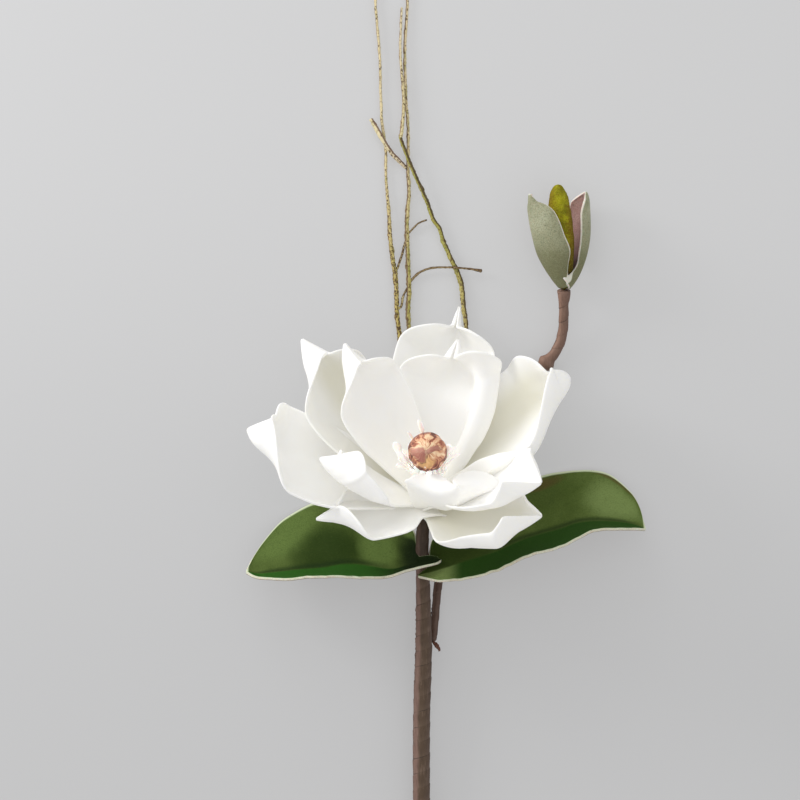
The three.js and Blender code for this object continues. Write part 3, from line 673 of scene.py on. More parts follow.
def makeStamens():
    kinds = [makeStrip(*kind) for kind in heart["strips"]]
    facing = Vector((0, 0, 1)).rotation_difference(flowerAxis)
    strips = []
    for ring in heart["rings"]:
        for k in range(ring["strips"]):
            source = random.choice(kinds)
            turn = 2 * math.pi * (k + random.uniform(-0.3, 0.3)) / ring["strips"]
            outward = Vector((math.cos(turn), math.sin(turn), 0))
            front = max(0, -(facing @ outward).dot(flowerUp))
            lean = random.uniform(*ring["lean"]) * (1 - 0.9 * front)
            root = facing @ (outward * ring["radius"] + Vector((0, 0, ring["height"]))) + aside
            tip = facing @ (outward * math.sin(lean) + Vector((0, 0, math.cos(lean))))
            swing = facing @ (outward * math.cos(lean) - Vector((0, 0, math.sin(lean))))
            scale = random.uniform(*ring["size"]) * (1 - 0.15 * front)
            strips.append(planted(source, place(root), tip, swing, scale))
    for k, (root, end) in enumerate(heart["standing"]):       # of the first and the third kind in turn
        tip = Vector(end) - Vector(root)
        scale = tip.length / heart["standingLength"]
        tip.normalize()
        swing = (Vector((0, 0, 1)) - tip * tip.z).normalized()
        strips.append(planted(kinds[2 * (k % 2)], place(root), tip, swing, scale))
    only(None)
    cushion = heart["cushion"]
    bpy.ops.mesh.primitive_cone_add(
        vertices=24, radius1=cushion["below"] * mm, radius2=cushion["above"] * mm,
        depth=cushion["depth"] * mm, rotation=facing.to_euler(),
        location=place(flowerAxis * cushion["height"] + aside))
    piece = bpy.context.object
    bpy.ops.object.transform_apply(location=True, rotation=True, scale=True)
    applied(piece, "BEVEL", width=cushion["edge"] * mm, segments=3)
    only(piece)
    for strip in strips:
        strip.select_set(True)
    bpy.ops.object.join()
    finished(piece, "stamens", ["stamen_fringe"], [stripShade()])
    for source in kinds:
        bpy.data.objects.remove(source)
    print("stamens:", len(strips))


# a dark fibre caught among the stamens
def makeFibre():
    fibre = heart["fibre"]
    start, end = Vector(fibre["from"]), Vector(fibre["to"])
    only(None)
    bpy.ops.mesh.primitive_cylinder_add(
        vertices=8, radius=fibre["radius"] * mm, depth=(end - start).length * mm,
        location=place((start + end) / 2),
        rotation=Vector((0, 0, 1)).rotation_difference(end - start).to_euler())
    piece = bpy.context.object
    applied(piece, "SUBSURF", levels=1, render_levels=1)
    shader = Shader("darkFibre", {"dark": (64, 54, 48), "light": (120, 110, 100)}, Roughness=0.6)
    grain = shader.clouds(shader.place(), 1500.0)
    shader.drive("Base Color", shader.blend(grain, "dark", "light"))
    shader.bump(grain, 0.4, 0.0001)
    finished(piece, "looseFibre", [], [shader.material])
    print("loose fibre")


makeBall()
makeStamens()
makeFibre()

restPlane = -31.5            # the surface the branch lies on

# taped stems: tape wound in a spiral, each turn lapping over the last
winding = {"pitch": 8.6, "lap": 0.2, "around": 40, "pace": 0.6}
# frayed: torn paper fibres down one side; tones: across the stem from flank to flank, partly the tape's own
# colour and partly painted light from one side; shadow: painted shadow, deep brown between two heights where
# the stem lies behind the leaves, and its strength
mainStem = {
    "path": [(0, -4.5, -4.5), (-0.2, -8.5, -8.4), (-0.7, -16, -12.4), (-0.8, -30, -15), (-0.4, -45, -16.4),
             (-0.1, -65, -17.7), (0, -82, -18.7), (-0.6, -100, -20), (-1.2, -125, -21.4),
             (-1.2, -170, restPlane + 7.928), (-1.2, -226, restPlane + 4.8)],
    "radii": [3.5, 3.7, 4.2, 4.75, 4.8, 4.8, 4.8, 4.8, 4.8],
    "frayed": {"side": -1, "from": 58, "to": 100, "depth": 0.7},
    "tones": {"left": (124, 97, 86), "middle": (84, 66, 50), "right": (84, 66, 54)},
    "shadow": (-36, -27, 0.6),
}
sideLow = restPlane + 2.9
sideBranch = {
    "path": [(5.2, -78, -23.2), (5.7, -73, -23.8), (6.8, -60, -24.8), (8.3, -44, -26.4),
             (10.8, -32, sideLow), (17, -14, sideLow), (33, 24, sideLow), (56, 62, sideLow + 0.4),
             (66, 75.5, sideLow + 1.5), (70, 80, sideLow + 1.9), (73.6, 84.4, sideLow + 2.1),
             (76.2, 89.6, sideLow + 2.3), (77.8, 96, -25), (78.2, 105, -21.5), (78, 112, -18.8),
             (78, 118.6, -16.4)],
    "radii": [2.0, 2.2, 2.5, 2.7, 2.8, 2.8, 2.8, 2.8, 2.9, 3.2, 2.9, 2.8, 2.6],
    "frayed": {"side": 1, "from": 6, "to": 22, "depth": 1.6},
    "tones": {"left": (142, 110, 94), "middle": (122, 94, 80), "right": (112, 86, 74)},
    "shadow": (30, -30, 0.5),
    "knob": {"at": (68, 79), "height": 1.9, "spread": 0.012},    # at the branch's joint
    "swell": 1.1,            # under the bud
}
# the torn end of the side branch's tape curls away
tornTape = {
    "path": [(5.4, -77, -22.6), (6.2, -78.2, -22.2), (7.3, -79.3, -21.8), (8.4, -80.9, -21.4),
             (8.9, -82.4, -21.2)],
    "radii": [0.7, 1.1, 1.2, 0.9, 0.5],
    "tones": {"left": (112, 70, 52), "middle": (104, 62, 46), "right": (96, 58, 44)},
    "around": 16, "pace": 0.35,
}


# turns: how often the tape goes round, below 0 on a stick that points up. The sheet's first direction runs
# round a stick from its right as it lies pointing down, or its left as it points up
def stemTape(name, turns, stem):
    look = {**stem["tones"], "dark": (38, 27, 19), "edge": (64, 48, 34), "seam": (38, 27, 20),
            "dust": (150, 128, 112)}
    shader = Shader(name, look, Specular_IOR_Level=0.35)
    turn, along = shader.sheetPlace()
    where = shader.place()
    stain = shader.clouds(where, 120.0, 4.0, 0.6)
    streak = shader.clouds(shader.stretch(where, (1.0, 0.16, 1.0)), 900.0, 3.0, 0.65)
    crepe = shader.clouds(shader.stretch(where, (0.5, 1.0, 0.5)), 1400.0, 2.0, 0.7)
    flank = (turn * (2 * math.pi) + math.pi / 2).sine() * (1 if turns > 0 else -1) + (stain - 0.5) * 0.5
    wrap = (along * abs(turns) - turn + stain * 0.1).fraction()
    worn = shader.clouds(where, 52.0).rise(0.42, 0.62)
    seam = (wrap.rise(0.045, 0.0) + wrap.rise(0.97, 1.0)).least(1.0) * worn
    # the tones across the stem are partly the tape's own colour and partly painted light from one side
    colour = shader.layers(
        "left", (flank.rise(-0.62, -0.22), "middle"), (flank.rise(0.3, 0.75), "right"),
        (streak.rise(0.5, 0.75) * 0.3, "dark"),
        (streak.rise(0.46, 0.3) * 0.22 + wrap.rise(0.5, 0.9) * 0.08, "dust"),
        (flank.rise(-0.86, -1.0) * crepe.rise(0.4, 0.55) * 0.8, "edge"), (seam * 0.85, "seam"))
    # painted shadow: deep brown between two heights
    if "shadow" in stem:
        near, far, strength = stem["shadow"]
        deep = shader.parts(where)[1].rise(place((0, near, 0)).y, place((0, far, 0)).y) * strength
        colour = shader.blend(deep, colour, "dark")
    shader.drive("Base Color", colour)
    shader.drive("Roughness", 0.45 + crepe * 0.25)
    shader.bump(crepe * 0.3 + streak * 0.6 - seam * 1.2 + stain * 0.5, 0.5, 0.0004)
    return shader.material


# a taped stem's radius, with its laps, lumps and torn fibres
def tapeRadius(stem, seed):
    frayed = stem["frayed"]

    def radius(share, turn, far):
        wrap = (far / winding["pitch"] - turn + 0.12 * noise.noise((far * 0.06, seed, 0))) % 1
        lap = winding["lap"] * (1 - smooth(0.0, 0.9, wrap)) * smooth(0.0, 0.05, wrap)
        spin = 2 * math.pi * turn
        around = Vector((math.cos(spin), math.sin(spin), 0))
        lump = noise.noise((around.x * 0.9 + seed, around.y * 0.9, far * 0.11))
        rough = max(0, noise.noise(around * 1.5 + Vector((seed, 0, far * 0.9))))
        side = smooth(0.86, 0.98, around.x * frayed["side"])
        start, end = frayed["from"], frayed["to"]
        torn = smooth(start - 4, start, far) * (1 - smooth(end, end + 6, far))
        fibres = frayed["depth"] * rough * side * torn
        return tapered(stem["radii"], share) - 0.12 + lap + 0.16 * lump + fibres

    return radius


def makeMainStem():
    turns = SmoothPath(mainStem["path"]).length / winding["pitch"]
    piece = rolledStick(mainStem["path"], tapeRadius(mainStem, 3), winding["around"], winding["pace"])
    finished(piece, "mainStem", ["main_stem"], [stemTape("mainTape", turns, mainStem)])


def makeSideBranch():
    whole = SmoothPath(sideBranch["path"])
    knob = sideBranch["knob"]
    joint = min((k / 800 for k in range(801)), key=lambda s: (whole.at(s).xy - Vector(knob["at"])).length)
    wrapped = tapeRadius(sideBranch, 8)

    def radius(share, turn, far):
        swollen = knob["height"] * math.exp(-(((share - joint) / knob["spread"]) ** 2))
        swollen += sideBranch["swell"] * smooth(0.955, 1, share)
        return (wrapped(share, turn, far) + swollen) * smooth(-0.004, 0.012, share)

    piece = rolledStick(sideBranch["path"], radius, winding["around"], winding["pace"])
    tape = stemTape("sideTape", -whole.length / winding["pitch"], sideBranch)
    finished(piece, "sideBranch", ["side_branch"], [tape])


def makeTornTape():
    def radius(share, turn, far):
        spin = 2 * math.pi * turn
        torn = noise.noise((math.cos(spin), math.sin(spin), far * 0.8))
        return tapered(tornTape["radii"], share) * (1 + 0.35 * torn) * (0.6 + 0.4 * abs(math.cos(spin)))

    piece = rolledStick(tornTape["path"], radius, tornTape["around"], tornTape["pace"])
    finished(piece, "tornTape", [], [stemTape("tornPaper", 0.4, tornTape)])


# the short dark neck that holds the petals keeps its own shape
def coverNeck():
    look = {"light": (70, 50, 38), "dark": (44, 30, 22), "dust": (98, 78, 62)}
    shader = Shader("baseTape", look, Specular_IOR_Level=0.3)
    where = shader.place()
    stain = shader.clouds(where, 220.0, 4.0, 0.6)
    crepe = shader.clouds(shader.stretch(where, (1.0, 0.4, 1.0)), 1300.0, 3.0, 0.7)
    shader.drive("Base Color", shader.layers("light", (stain.rise(0.35, 0.7), "dark"),
                                             (crepe.rise(0.55, 0.8) * 0.4, "dust")))
    shader.drive("Roughness", 0.5 + crepe * 0.25)
    shader.bump(crepe * 0.7 + stain * 0.5, 0.5, 0.0003)
    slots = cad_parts["receptacle"].data.materials
    slots.clear()
    slots.append(shader.material)


makeMainStem()
makeSideBranch()
makeTornTape()
coverNeck()
print("stems")

twigGrid = {"around": 16, "pace": 0.5}
# thin twigs behind the flower: points are x, y and height above the rest plane
twigs = {
    "twigLeft": {
        "node": "twig_left", "kind": "gold",
        "radii": (1.3, 1.4, 1.3, 1.4, 1.3, 1.2, 0.75, 0.75, 0.7, 0.7, 0.65),
        "path": [(-6.4, -8, 11), (-8, 2, 3.6), (-9, 20, 1.7), (-10.5, 50, 1.7), (-12.6, 83, 1.7),
                 (-13.2, 92, 1.8), (-14.9, 106, 1.7), (-15.4, 123, 1.7), (-18.3, 145, 1.8),
                 (-19.4, 161.5, 1.7), (-21.1, 183.5, 1.2), (-21.1, 198, 1.2), (-23.3, 212.6, 1.3),
                 (-23.9, 226, 1.2), (-24.7, 253, 1.6), (-27, 282, 1.3), (-26, 306, 1.1)]},
    "twigCentre": {
        "node": "twig_centre", "kind": "split",
        "radii": (1.3, 1.3, 1.4, 1.4, 1.3, 1.3, 0.95, 0.85, 0.85, 0.8, 0.7),
        "path": [(-1.6, -8, 9.6), (-3, 3, 2.6), (-5, 30, 1.7), (-7, 60, 1.7), (-8.2, 97, 1.7),
                 (-8.7, 106, 1.8), (-8.2, 120.4, 1.7), (-8.7, 135.5, 1.7), (-9.3, 160, 1.6),
                 (-8.2, 174, 1.2), (-8.7, 185.5, 1.2), (-8.7, 210, 1.3), (-9.8, 226, 1.2),
                 (-10.5, 253, 1.4), (-9, 286, 1.3), (-11, 313, 1.1)]},
    "twigRight": {
        "node": "twig_right", "kind": "moss", "radii": (1.3, 1.3, 1.4, 1.4, 1.3, 1.4, 1.2, 1.1, 1),
        "path": [(4.8, -8, 11), (7.5, 3, 3.6), (12, 20, 1.8), (18, 50, 1.8), (22, 80, 1.8),
                 (23.8, 99.3, 1.8), (22.2, 112, 1.9), (21, 123.3, 1.8), (15.4, 137, 1.9),
                 (11.5, 145.7, 1.9), (8.7, 154.3, 2.4), (5.9, 158.2, 2.6), (1.4, 170.2, 3.2),
                 (-3.7, 181.4, 4), (-8.7, 193, 4.6), (-12.7, 203.7, 4.2), (-13.6, 206.4, 4)]},
    "twigTip": {
        "node": "twig_tip", "kind": "pale", "radii": (1, 0.9, 0.8, 0.7, 0.6),
        "path": [(-12.9, 204.3, 4.1), (-12.1, 208.6, 4), (-11.6, 214, 3.8), (-11.2, 226, 3.6),
                 (-13, 253, 3.2), (-12.2, 278, 2.4)]},
    "twigCross": {
        "node": "twig_cross", "kind": "forked", "radii": (1.2, 1.4, 1.2, 1.3, 1),
        "path": [(-29.5, 215.4, 3.4), (-25.8, 208.5, 3.8), (-21.6, 201.6, 4), (-17.1, 195.3, 3.4),
                 (-13, 191.2, 2.4), (-9.3, 187.6, 1.4)]},
    "sprigUpper": {
        "node": "sprig_upper", "kind": "brown", "radii": (0.55, 0.5, 0.5),
        "path": [(-9, 150.7, 1.6), (-7.1, 152.6, 1.6), (-2.6, 157, 1.9), (2, 158.8, 2.2)]},
    "sprigLower": {
        "node": "sprig_lower", "kind": "brown", "radii": (0.75, 0.7, 0.65, 0.6, 0.6, 0.6, 0.6, 1.1),
        "path": [(-8.4, 122.8, 1.6), (-7.1, 124.5, 1.6), (-2.6, 129, 1.8), (4.2, 131.7, 2.4),
                 (14.9, 132, 4.1), (18.8, 131.8, 4.3), (26.1, 131.2, 3.4), (32.8, 130.1, 2.8)]},
    "linkUpper": {
        "node": "link_upper", "kind": "link", "radii": (0.6, 0.65, 0.6),
        "path": [(-16.4, 128.8, 1.6), (-14.9, 131.3, 1.6), (-12.1, 139.1, 1.7), (-10.4, 145.8, 1.7),
                 (-9.3, 148.8, 1.7)]},
    "linkLower": {
        "node": "link_lower", "kind": "link", "radii": (0.6, 0.65, 0.6),
        "path": [(-14.8, 108.3, 1.6), (-12.5, 110.6, 1.6), (-11.6, 115.5, 1.7), (-8.8, 121.1, 1.7)]},
}
# each bark's ground colours from the low end to the top, its flank colour and how far that covers, and how
# thick the dark spots lie low down and at the top
barks = {
    "gold": {"ground": ((186, 168, 92), (222, 206, 162)), "flank": (140, 112, 76), "cover": 0.2,
             "spots": (0.44, 0.2)},
    "split": {"ground": ((176, 166, 92), (222, 204, 162)), "flank": (112, 88, 72), "cover": 0.42,
              "spots": (0.24, 0.2)},
    "moss": {"ground": ((196, 178, 116), (158, 152, 70)), "flank": (62, 48, 30), "cover": 0.36,
             "spots": (0.4, 0.2)},
    "pale": {"ground": ((214, 200, 152), (224, 210, 172)), "flank": (132, 104, 84), "cover": 0.26,
             "spots": (0.2, 0.2)},
    "forked": {"ground": ((220, 206, 164), (222, 206, 172)), "flank": (112, 82, 74), "cover": 0.46,
               "spots": (0.1, 0.3)},
    "link": {"ground": ((186, 172, 122), (190, 176, 132)), "flank": (96, 78, 62), "cover": 0.25,
             "spots": (0.5, 0.5)},
    "brown": {"ground": ((140, 120, 82), (134, 112, 76)), "flank": (84, 64, 46), "cover": 0.35,
              "spots": (0.3, 0.44)},
}


def twigBark(kind):
    bark = barks[kind]
    look = {"low": bark["ground"][0], "high": bark["ground"][1], "flank": bark["flank"],
            "moss": (142, 146, 58), "cream": (232, 220, 184), "dark": (78, 56, 38), "brown": (144, 112, 80)}
    shader = Shader(kind + "Bark", look, Specular_IOR_Level=0.3)
    turn, along = shader.sheetPlace()
    where = shader.place()
    patch = shader.clouds(shader.stretch(where, (1.0, 0.45, 1.0)), 260.0, 3.0, 0.6)
    speck = shader.clouds(shader.stretch(where, (1.0, 0.7, 1.0)), 980.0, 3.0, 0.7)
    fleck = shader.clouds(where, 1300.0, 2.0, 0.7)
    mossy = 0.6 if kind in ("moss", "gold", "split") else 0.1
    # 1 on the left, -1 on the right
    flank = (turn * (2 * math.pi) + math.pi / 2).sine() + (patch - 0.5) * 0.8
    if kind == "moss":       # dark down its right side, most of all near the top
        flank = (flank - along.rise(0.74, 0.84) * 0.7) * -1
    edge = 1 - 2 * bark["cover"]
    low, high = bark["spots"]
    spots = speck + (along.rise(0.4, 0.7) * (high - low) + low) * 0.26
    dots = spots.rise(0.62, 0.7)
    shader.drive("Base Color", shader.layers(
        "low", (along.rise(0.35, 0.75), "high"), (patch.rise(0.5, 0.66) * mossy, "moss"),
        (fleck.rise(0.5, 0.7) * 0.35, "cream"), (flank.rise(edge, edge + 0.25) * 0.85, "flank"),
        (spots.rise(0.56, 0.66) * 0.6, "brown"), (dots * 0.9, "dark")))
    shader.drive("Roughness", 0.5 + 0.3 * patch)
    shader.bump(patch * 0.8 - dots * 0.8 + fleck * 0.5, 0.8, 0.0005)
    return shader.material


# bark with buds and scars: it swells at knots, and its ends are rounded
def barkRadius(radii, seed):
    def radius(share, turn, far):
        spin = 2 * math.pi * turn
        around = Vector((math.cos(spin), math.sin(spin), 0))
        knob = noise.noise(around * 0.5 + Vector((seed, 0, far * 0.22)))
        bark = noise.noise(around * 1.3 + Vector((0, seed, far * 0.9)))
        ends = math.sqrt(min(1, (0.2 + share * 90))) * math.sqrt(min(1, 0.2 + (1 - share) * 90))
        return tapered(radii, share) * (0.94 + 0.55 * max(0, knob) + 0.3 * bark) * ends

    return radius


def makeTwigs():
    bark = {kind: twigBark(kind) for kind in barks}
    for number, (name, twig) in enumerate(twigs.items()):
        path = [(x, y, restPlane + z) for x, y, z in twig["path"]]
        piece = rolledStick(path, barkRadius(twig["radii"], number * 3.7), **twigGrid)
        finished(piece, name, [twig["node"]], [bark[twig["kind"]]])
    print("twigs:", len(twigs))


makeTwigs()

bud = {
    "base": Vector((78, 117.8, -16.8)), "axis": Vector((-0.06, 1, 0.04)).normalized(),
    "right": Vector((1, 0.06, 0)).normalized(), "foam": 1.7, "grid": (20, 44),
    "core": [(1.2, 0), (3, 2.8), (8, 4.6), (18, 6.4), (30, 7.2), (42, 6.6), (50, 5.6), (54, 4.8), (57.4, 3.2),
             (59.4, 1.6), (59.9, 0)],     # height above the base, radius
}
bracts = {
    "bractLeft": {
        "node": "bract_left", "turn": -132, "length": 58, "half": 12.5, "r": 1.2, "h": 2.2,
        "open": (46, 25, 14, 10, 4), "curl": ((0, 14, 30, 46, 62), (0, 16, 32, 47, 63)),
        "side": (1.2, 0.95), "start": 0.36, "rootCurl": 60, "claw": -0.24},
    "bractRight": {
        "node": "bract_right", "turn": 68, "length": 58, "half": 12.5, "r": 2, "h": 1.4,
        "open": (50, 22, 4, -3, -8), "curl": ((0, 10, 22, 36, 52), (0, 24, 48, 70, 90)), "side": (1.1, 1),
        "nose": 0.07, "noseWidth": 0.8, "noseCurl": 64, "round": 3, "start": 1, "rootCurl": 105,
        "rootEnd": 0.2},
}
bractShape = {
    "rootCurl": 63, "nose": 0.1, "noseWidth": 0.3, "noseCurl": 63, "groove": 0.6, "bow": (0.1, 0.1),
    "round": 2, "start": 0.2, "wave": 0.3,
}


# light, dark, spots: the ground's two colours and its specks'; rim: the margin's; low: painted shade the base
# fades to
def speckledFoam(name, light, dark, spots, rim=None, low=None):
    look = {"light": light, "dark": dark, "spots": spots, "rim": rim, "low": low, "dust": (214, 212, 196)}
    shader = Shader(name, look, Specular_IOR_Level=0.25, Subsurface_Weight=0.1, Subsurface_Scale=0.002)
    across, along = shader.sheetPlace()
    where = shader.place()
    broad = shader.clouds(where, 70.0, 3.0)
    fine = shader.clouds(where, 1500.0, 2.0, 0.8)
    blotch = shader.clouds(where, 520.0, 2.0, 0.7)
    colour = shader.blend(broad.rise(0.3, 0.7), "light", "dark")
    # painted shade toward the base
    if low:
        colour = shader.blend((along + (broad - 0.5) * 0.4).rise(0.7, 0.25) * 0.9, colour, "low")
    colour = shader.layers(colour, (fine.rise(0.46, 0.7) * 0.6 + blotch.rise(0.5, 0.75) * 0.3, "spots"),
                           (fine.rise(0.46, 0.28) * 0.14, "dust"))
    if rim:
        edge = (abs(across - 0.5) * 2 + along.rise(0.16, 0.03) * 0.3).rise(0.93, 0.99)
        colour = shader.blend(edge.most(along.rise(0.975, 1.0)) * 0.8, colour, "rim")
    shader.drive("Base Color", colour)
    shader.drive("Roughness", 0.6 + 0.2 * fine)
    shader.bump(fine * 0.7 + shader.clouds(where, 2600.0, 1.0) * 0.3, 0.4, 0.0002)
    return shader.material


def budVelvet():
    look = {"lime": (172, 168, 34), "olive": (128, 124, 26), "rust": (116, 74, 26), "deep": (46, 26, 12),
            "pale": (206, 200, 96)}
    shader = Shader("budVelvet", look, Roughness=0.9, Specular_IOR_Level=0.1, Sheen_Weight=0.5,
                    Sheen_Roughness=0.4, Sheen_Tint=(*paint(190, 186, 80), 1))
    where = shader.place()
    broad = shader.clouds(where, 150.0, 3.0)
    pile = shader.clouds(where, 1700.0, 2.0, 0.75)
    fluff = shader.clouds(where, 620.0, 2.0, 0.7)
    spread, height = shader.parts(where)[:2]
    base = place(bud["base"])
    low = (height + (broad - 0.5) * 0.02).rise(base.y + 0.034, base.y + 0.006)
    spread = spread + (fluff - 0.5) * 0.006
    left = spread.rise(base.x - 0.004, base.x - 0.0095)
    right = spread.rise(base.x + 0.0005, base.x + 0.0035)
    # the rust down both sides and the deep brown at the foot are painted shade; the rust flecks and dark pile
    # are its own
    shader.drive("Base Color", shader.layers(
        "lime", (broad.rise(0.35, 0.65), "olive"), (left.most(right * 0.8) * 0.75, "rust"),
        (fluff.rise(0.52, 0.72) * 0.55, "rust"), (low * 0.85, "deep"), (pile.rise(0.5, 0.75) * 0.5, "deep"),
        (pile.rise(0.45, 0.3) * 0.3, "pale")))
    shader.bump(pile + fluff * 0.5, 0.9, 0.0007)
    return shader.material


def makeBud():
    up = bud["axis"].cross(bud["right"]).normalized()
    layers = [
        speckledFoam("bractInside", (196, 158, 150), (168, 130, 124), (124, 92, 88),
                     rim=(238, 226, 220), low=(58, 36, 32)),
        speckledFoam("bractOutside", (178, 178, 150), (152, 153, 124), (96, 98, 70),
                     rim=(232, 230, 218), low=(114, 114, 80)),
        speckledFoam("bractRim", (240, 234, 226), (230, 220, 210), (206, 192, 180)),
    ]
    for name, options in bracts.items():
        shape = {**petalDefaults, **bractShape, **options}
        surface = petalSurface(shape, bud["axis"], up, bud["right"], bud["base"])
        piece = foamSheet(surface, bud["grid"], bud["foam"], layers)
        finished(piece, name, [options["node"]])
    only(None)
    ball = 0.01              # the core starts as a sphere of this radius
    bpy.ops.mesh.primitive_uv_sphere_add(segments=96, ring_count=120, radius=ball)
    piece = bpy.context.object
    facing = Vector((0, 0, 1)).rotation_difference(bud["axis"])
    for vertex in piece.data.vertices:
        high, turn = vertex.co.z / ball, math.atan2(vertex.co.y, vertex.co.x)
        share = math.asin(max(-1, min(1, high))) / math.pi + 0.5
        h = mix(bud["core"][0][0], bud["core"][-1][0], share)
        r = keyed(bud["core"], h) if 0 < share < 1 else 0
        lump = 0.35 * noise.noise((math.cos(turn) * 2, math.sin(turn) * 2, h * 0.22))
        pile = random.uniform(-0.16, 0.16)
        if r:
            r += lump + pile
        vertex.co = place(bud["base"] + facing @ Vector((r * math.cos(turn), r * math.sin(turn), h)))
    finished(piece, "budCore", ["bud_core"], [budVelvet()])
    print("bud")


makeBud()

# a leaf is a trough folded along its midrib: keys along it give half widths and lean of each half;
# base: what the trough's colour turns to at the base (painted shade on the left leaf, painted light on the
# right), from one place along it to another
leaves = {
    "leafLeft": {
        "node": "leaf_left", "seed": 2, "toRight": False, "base": ("root", 0.42, 0.15),
        "midrib": [(9.6, -31, -9.4), (4, -31.4, -9.8), (-2, -32.5, -10.2), (-10, -35, -10.3),
                   (-18.7, -36.4, -10.4), (-30, -34.6, -10.6), (-43.7, -33.4, -10.7), (-60, -35.9, -10.9),
                   (-80, -38.2, -11), (-93, -39, -11.2), (-98.5, -37.6, -11.4)],
        "rear": [(0, 0.6), (0.02, 2.2), (0.06, 3.6), (0.115, 4), (0.13, 18), (0.16, 25), (0.22, 31),
                 (0.33, 38), (0.48, 41), (0.64, 42), (0.8, 34.5), (0.92, 20), (0.97, 10), (1, 0.8)],
        "front": [(0, 0.6), (0.02, 3.2), (0.08, 6), (0.14, 8.5), (0.2, 12), (0.36, 20), (0.55, 24),
                  (0.75, 20), (0.9, 11), (1, 0.8)],
        "rearLean": [(0, 22), (0.2, 29), (0.5, 29.5), (1, 28)],
        "frontLean": [(0, 26), (0.1, 18), (0.2, 7), (0.33, 11), (0.45, 14), (0.58, 10), (0.7, 6), (1, 8)],
        "look": {"olive": (88, 106, 50), "moss": (70, 88, 36), "trough": (42, 92, 24), "root": (8, 24, 2),
                 "lit": (104, 126, 64), "shade": (34, 54, 8)}},
    "leafRight": {
        "node": "leaf_right", "seed": 9, "toRight": True, "base": ("lit", 0.2, 0.11),
        "midrib": [(-3.2, -40, -11), (8, -37, -10.6), (25, -31.2, -10.8), (42, -25, -10.6),
                   (55, -19.8, -10.4), (74, -14.4, -10.7), (85, -10.4, -11), (95, -9.3, -11.2),
                   (106, -10, -11.7), (117, -12, -12.2), (123, -14, -12.6)],
        "rear": [(0, 0.8), (0.02, 2.4), (0.042, 4), (0.052, 18), (0.09, 24), (0.2, 30), (0.32, 36),
                 (0.45, 39), (0.56, 38), (0.7, 35), (0.84, 31), (0.94, 22), (0.98, 13), (1, 0.8)],
        "front": [(0, 0.8), (0.02, 3.6), (0.06, 8), (0.1, 11.5), (0.25, 20), (0.4, 25), (0.62, 25),
                  (0.8, 18), (0.92, 10), (1, 0.8)],
        "rearLean": [(0, 27), (0.4, 32), (0.56, 33), (1, 32)],
        "frontLean": [(0, 16), (0.1, 27), (0.26, 27), (0.37, 23), (0.52, 18), (0.7, 18), (0.77, 14), (1, 12)],
        "look": {"olive": (94, 112, 54), "moss": (80, 98, 42), "trough": (38, 74, 18), "root": (42, 58, 14),
                 "lit": (130, 150, 88), "shade": (72, 88, 38)}},
}
leafFinish = {"foam": 1.6, "grid": (40, 130), "wave": 0.9, "foldRound": 1.4, "ragged": 0.05}
# soft patches on each leaf's face: place across and along it, half sizes, strength and colour; the lit, shade
# and root ones are painted light and painted shade, the rust ones the leaf's own marks
leafPatches = {
    "leafLeft": [
        (0.84, 0.78, 0.22, 0.16, 0.8, "lit"), (0.62, 0.58, 0.20, 0.20, 0.85, "shade"),
        (0.66, 0.32, 0.18, 0.12, 0.9, "lit"), (0.58, 0.07, 0.60, 0.13, 1, "root"),
        (0.92, 0.15, 0.10, 0.05, 0.9, "lit")],
    "leafRight": [
        (0.74, 0.88, 0.22, 0.14, 0.8, "lit"), (0.82, 0.58, 0.10, 0.10, 0.5, "shade"),
        (0.94, 0.56, 0.05, 0.10, 0.6, "rust"), (0.98, 0.9, 0.03, 0.12, 0.5, "rust"),
        (0.72, 0.16, 0.34, 0.24, 0.9, "root")],
}


def leafTop(name):
    leaf = leaves[name]
    look = {"dust": (132, 150, 84), "edge": (214, 224, 188), "crease": (16, 40, 10), "spot": (44, 58, 22),
            "rust": (96, 68, 42), **leaf["look"]}
    shader = Shader(name + "Top", look, Specular_IOR_Level=0.1)
    across, along = shader.sheetPlace()
    where = shader.place()
    broad = shader.clouds(where, 42.0, 4.0)
    bend = shader.clouds(where, 26.0, 3.0) - 0.5
    speckle = shader.clouds(where, 2100.0, 2.0, 0.8)
    blotch = shader.clouds(where, 420.0, 3.0, 0.7)
    body = shader.blend(broad.rise(0.35, 0.65), "olive", "moss")
    # patches of painted light and painted shade, and the leaf's own rust marks
    for u, v, wide, deep, strength, tone in leafPatches[name]:
        side = (across - u + bend * 0.12) * (1 / wide)
        far = (along - v + bend * 0.18) * (1 / deep)
        body = shader.blend((side * side + far * far).rise(1.4, 0.1) * strength, body, tone)
    height = across + bend * 0.05
    # below the fold the trough is painted shade, and the dark crease line along the fold is a painted shadow
    tone, above, below = leaf["base"]
    low = shader.blend(along.rise(above, below), "trough", tone)
    crease = (abs(height - 0.515) * (1 / 0.05)).rise(1.0, 0.0) * along.rise(0.2, 0.42) * along.rise(1.0, 0.9)
    edge = across.rise(0.02, 0.006).most(across.rise(0.972, 0.988)).most(along.rise(0.985, 0.995))
    shader.drive("Base Color", shader.layers(
        body, (height.rise(0.515, 0.455), low), (crease * 0.7, "crease"),
        (speckle.rise(0.45, 0.75) * 0.55 + blotch.rise(0.5, 0.8) * 0.25, "spot"),
        (speckle.rise(0.48, 0.28) * 0.12, "dust"), (edge * blotch.rise(0.25, 0.4), "edge")))
    shader.drive("Roughness", 0.6 + 0.2 * speckle)
    shader.bump(speckle * 0.6 + blotch * 0.5, 0.5, 0.0002)
    return shader.material


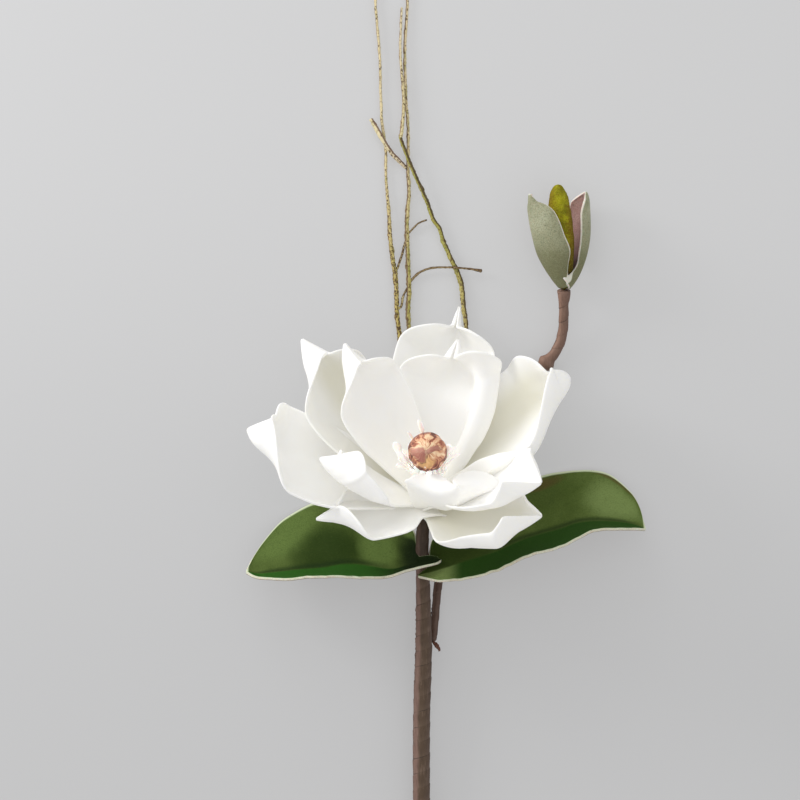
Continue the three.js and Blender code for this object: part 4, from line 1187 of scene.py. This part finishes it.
# a leaf's middle surface; the fold along the midrib is rounded and the margin is ragged
def leafSurface(leaf):
    midrib = SmoothPath(leaf["midrib"])

    def point(s, t):
        lean = [math.radians(keyed(leaf[key], t)) for key in ("frontLean", "rearLean")]
        ways = [Vector((0, -math.sin(lean[0]), math.cos(lean[0]))),
                Vector((0, math.cos(lean[1]), -math.sin(lean[1])))]
        above = [Vector((0, math.cos(lean[0]), math.sin(lean[0]))),
                 Vector((0, math.sin(lean[1]), math.cos(lean[1])))]
        k = 1 if s >= 0 else 0
        w = keyed(leaf["rear" if k else "front"], t)
        w *= 1 + leafFinish["ragged"] * s * s * noise.noise((t * (30, 9)[k], leaf["seed"], k * 5))
        d = s * w
        soft = leafFinish["foldRound"] * smooth(0, 6, w)
        rounded = math.sqrt(d * d + soft * soft) - soft * 0.55
        camber = 0.12 * w * (s * s - abs(s))
        wave = noise.noise((d * 0.05 + leaf["seed"], t * 4.5, leaf["seed"])) * smooth(3, 12, w)
        return (midrib.at(t) + (ways[1] - ways[0]) * (d / 2) + (ways[1] + ways[0]) * (rounded / 2)
                + above[k] * (camber + leafFinish["wave"] * wave))

    return point


def makeLeaves():
    under = speckledFoam("leafBack", (150, 134, 118), (124, 106, 92), (100, 82, 70))
    rim = speckledFoam("leafRim", (222, 222, 204), (206, 202, 182), (176, 160, 138))
    for name, leaf in leaves.items():
        layers = [under, leafTop(name), rim] if leaf["toRight"] else [leafTop(name), under, rim]
        piece = foamSheet(leafSurface(leaf), leafFinish["grid"], leafFinish["foam"], layers)
        finished(piece, name, [leaf["node"]])
    print("leaves:", len(leaves))


makeLeaves()

# camera and light stand off the flower's base
studio = {
    "middle": (-13.2, 57.75), "distance": 1500, "across": 440, "sensor": 36, "reach": 20000,
    # floorGlow: a glow in the floor, painted light that lifts its shadows
    "floor": (144, 144, 145), "floorGlow": 0.35, "floorSize": 6000, "sky": 0.78,
    "floorFall": (-110, 220), "floorDim": 0.84,      # painted light: the floor's glow dims from the upper height to the lower
    "key": {"at": (-900, 600, 330), "size": 360, "power": 5.0},
    "fill": {"at": (-300, 900, 500), "size": 500, "power": 1.4},
}


def makeStudio():
    camera = bpy.data.objects.new("camera", bpy.data.cameras.new("camera"))
    bpy.context.scene.collection.objects.link(camera)
    camera.location = place((*studio["middle"], studio["distance"]))
    camera.data.sensor_width = studio["sensor"]
    camera.data.lens = studio["sensor"] * studio["distance"] / studio["across"]
    camera.data.clip_end = studio["reach"] * mm
    bpy.context.scene.camera = camera

    only(None)
    bpy.ops.mesh.primitive_plane_add(size=studio["floorSize"] * mm)
    floor = bpy.context.object
    floor.name = "floor"
    shader = Shader("paleFloor", {"floor": studio["floor"]}, Roughness=0.9, Specular_IOR_Level=0.1,
                    Emission_Strength=studio["floorGlow"])
    shader.drive("Base Color", "floor")
    # the floor's glow is painted light, dimmer toward the lower height
    low, high = (place((0, y, 0)).y for y in studio["floorFall"])
    high = shader.parts(shader.place())[1].rise(low, high)
    shader.drive("Emission Color", shader.blend(high, (studio["floorDim"],) * 3, (1.0, 1.0, 1.0)))
    floor.data.materials.append(shader.material)

    world = bpy.data.worlds.new("studio")
    world.use_nodes = True
    world.node_tree.nodes["Background"].inputs["Color"].default_value = (1, 1, 1, 1)
    world.node_tree.nodes["Background"].inputs["Strength"].default_value = studio["sky"]
    bpy.context.scene.world = world
    for name in ("key", "fill"):
        lamp = studio[name]
        light = bpy.data.objects.new(name, bpy.data.lights.new(name, "AREA"))
        bpy.context.scene.collection.objects.link(light)
        light.data.size = lamp["size"] * mm
        light.data.energy = lamp["power"]
        light.location = place(lamp["at"])
        light.rotation_euler = (place((0, 30, 0)) - light.location).to_track_quat("-Z", "Y").to_euler()
    bpy.context.scene.view_settings.view_transform = "Standard"
    print("studio ready")


makeStudio()
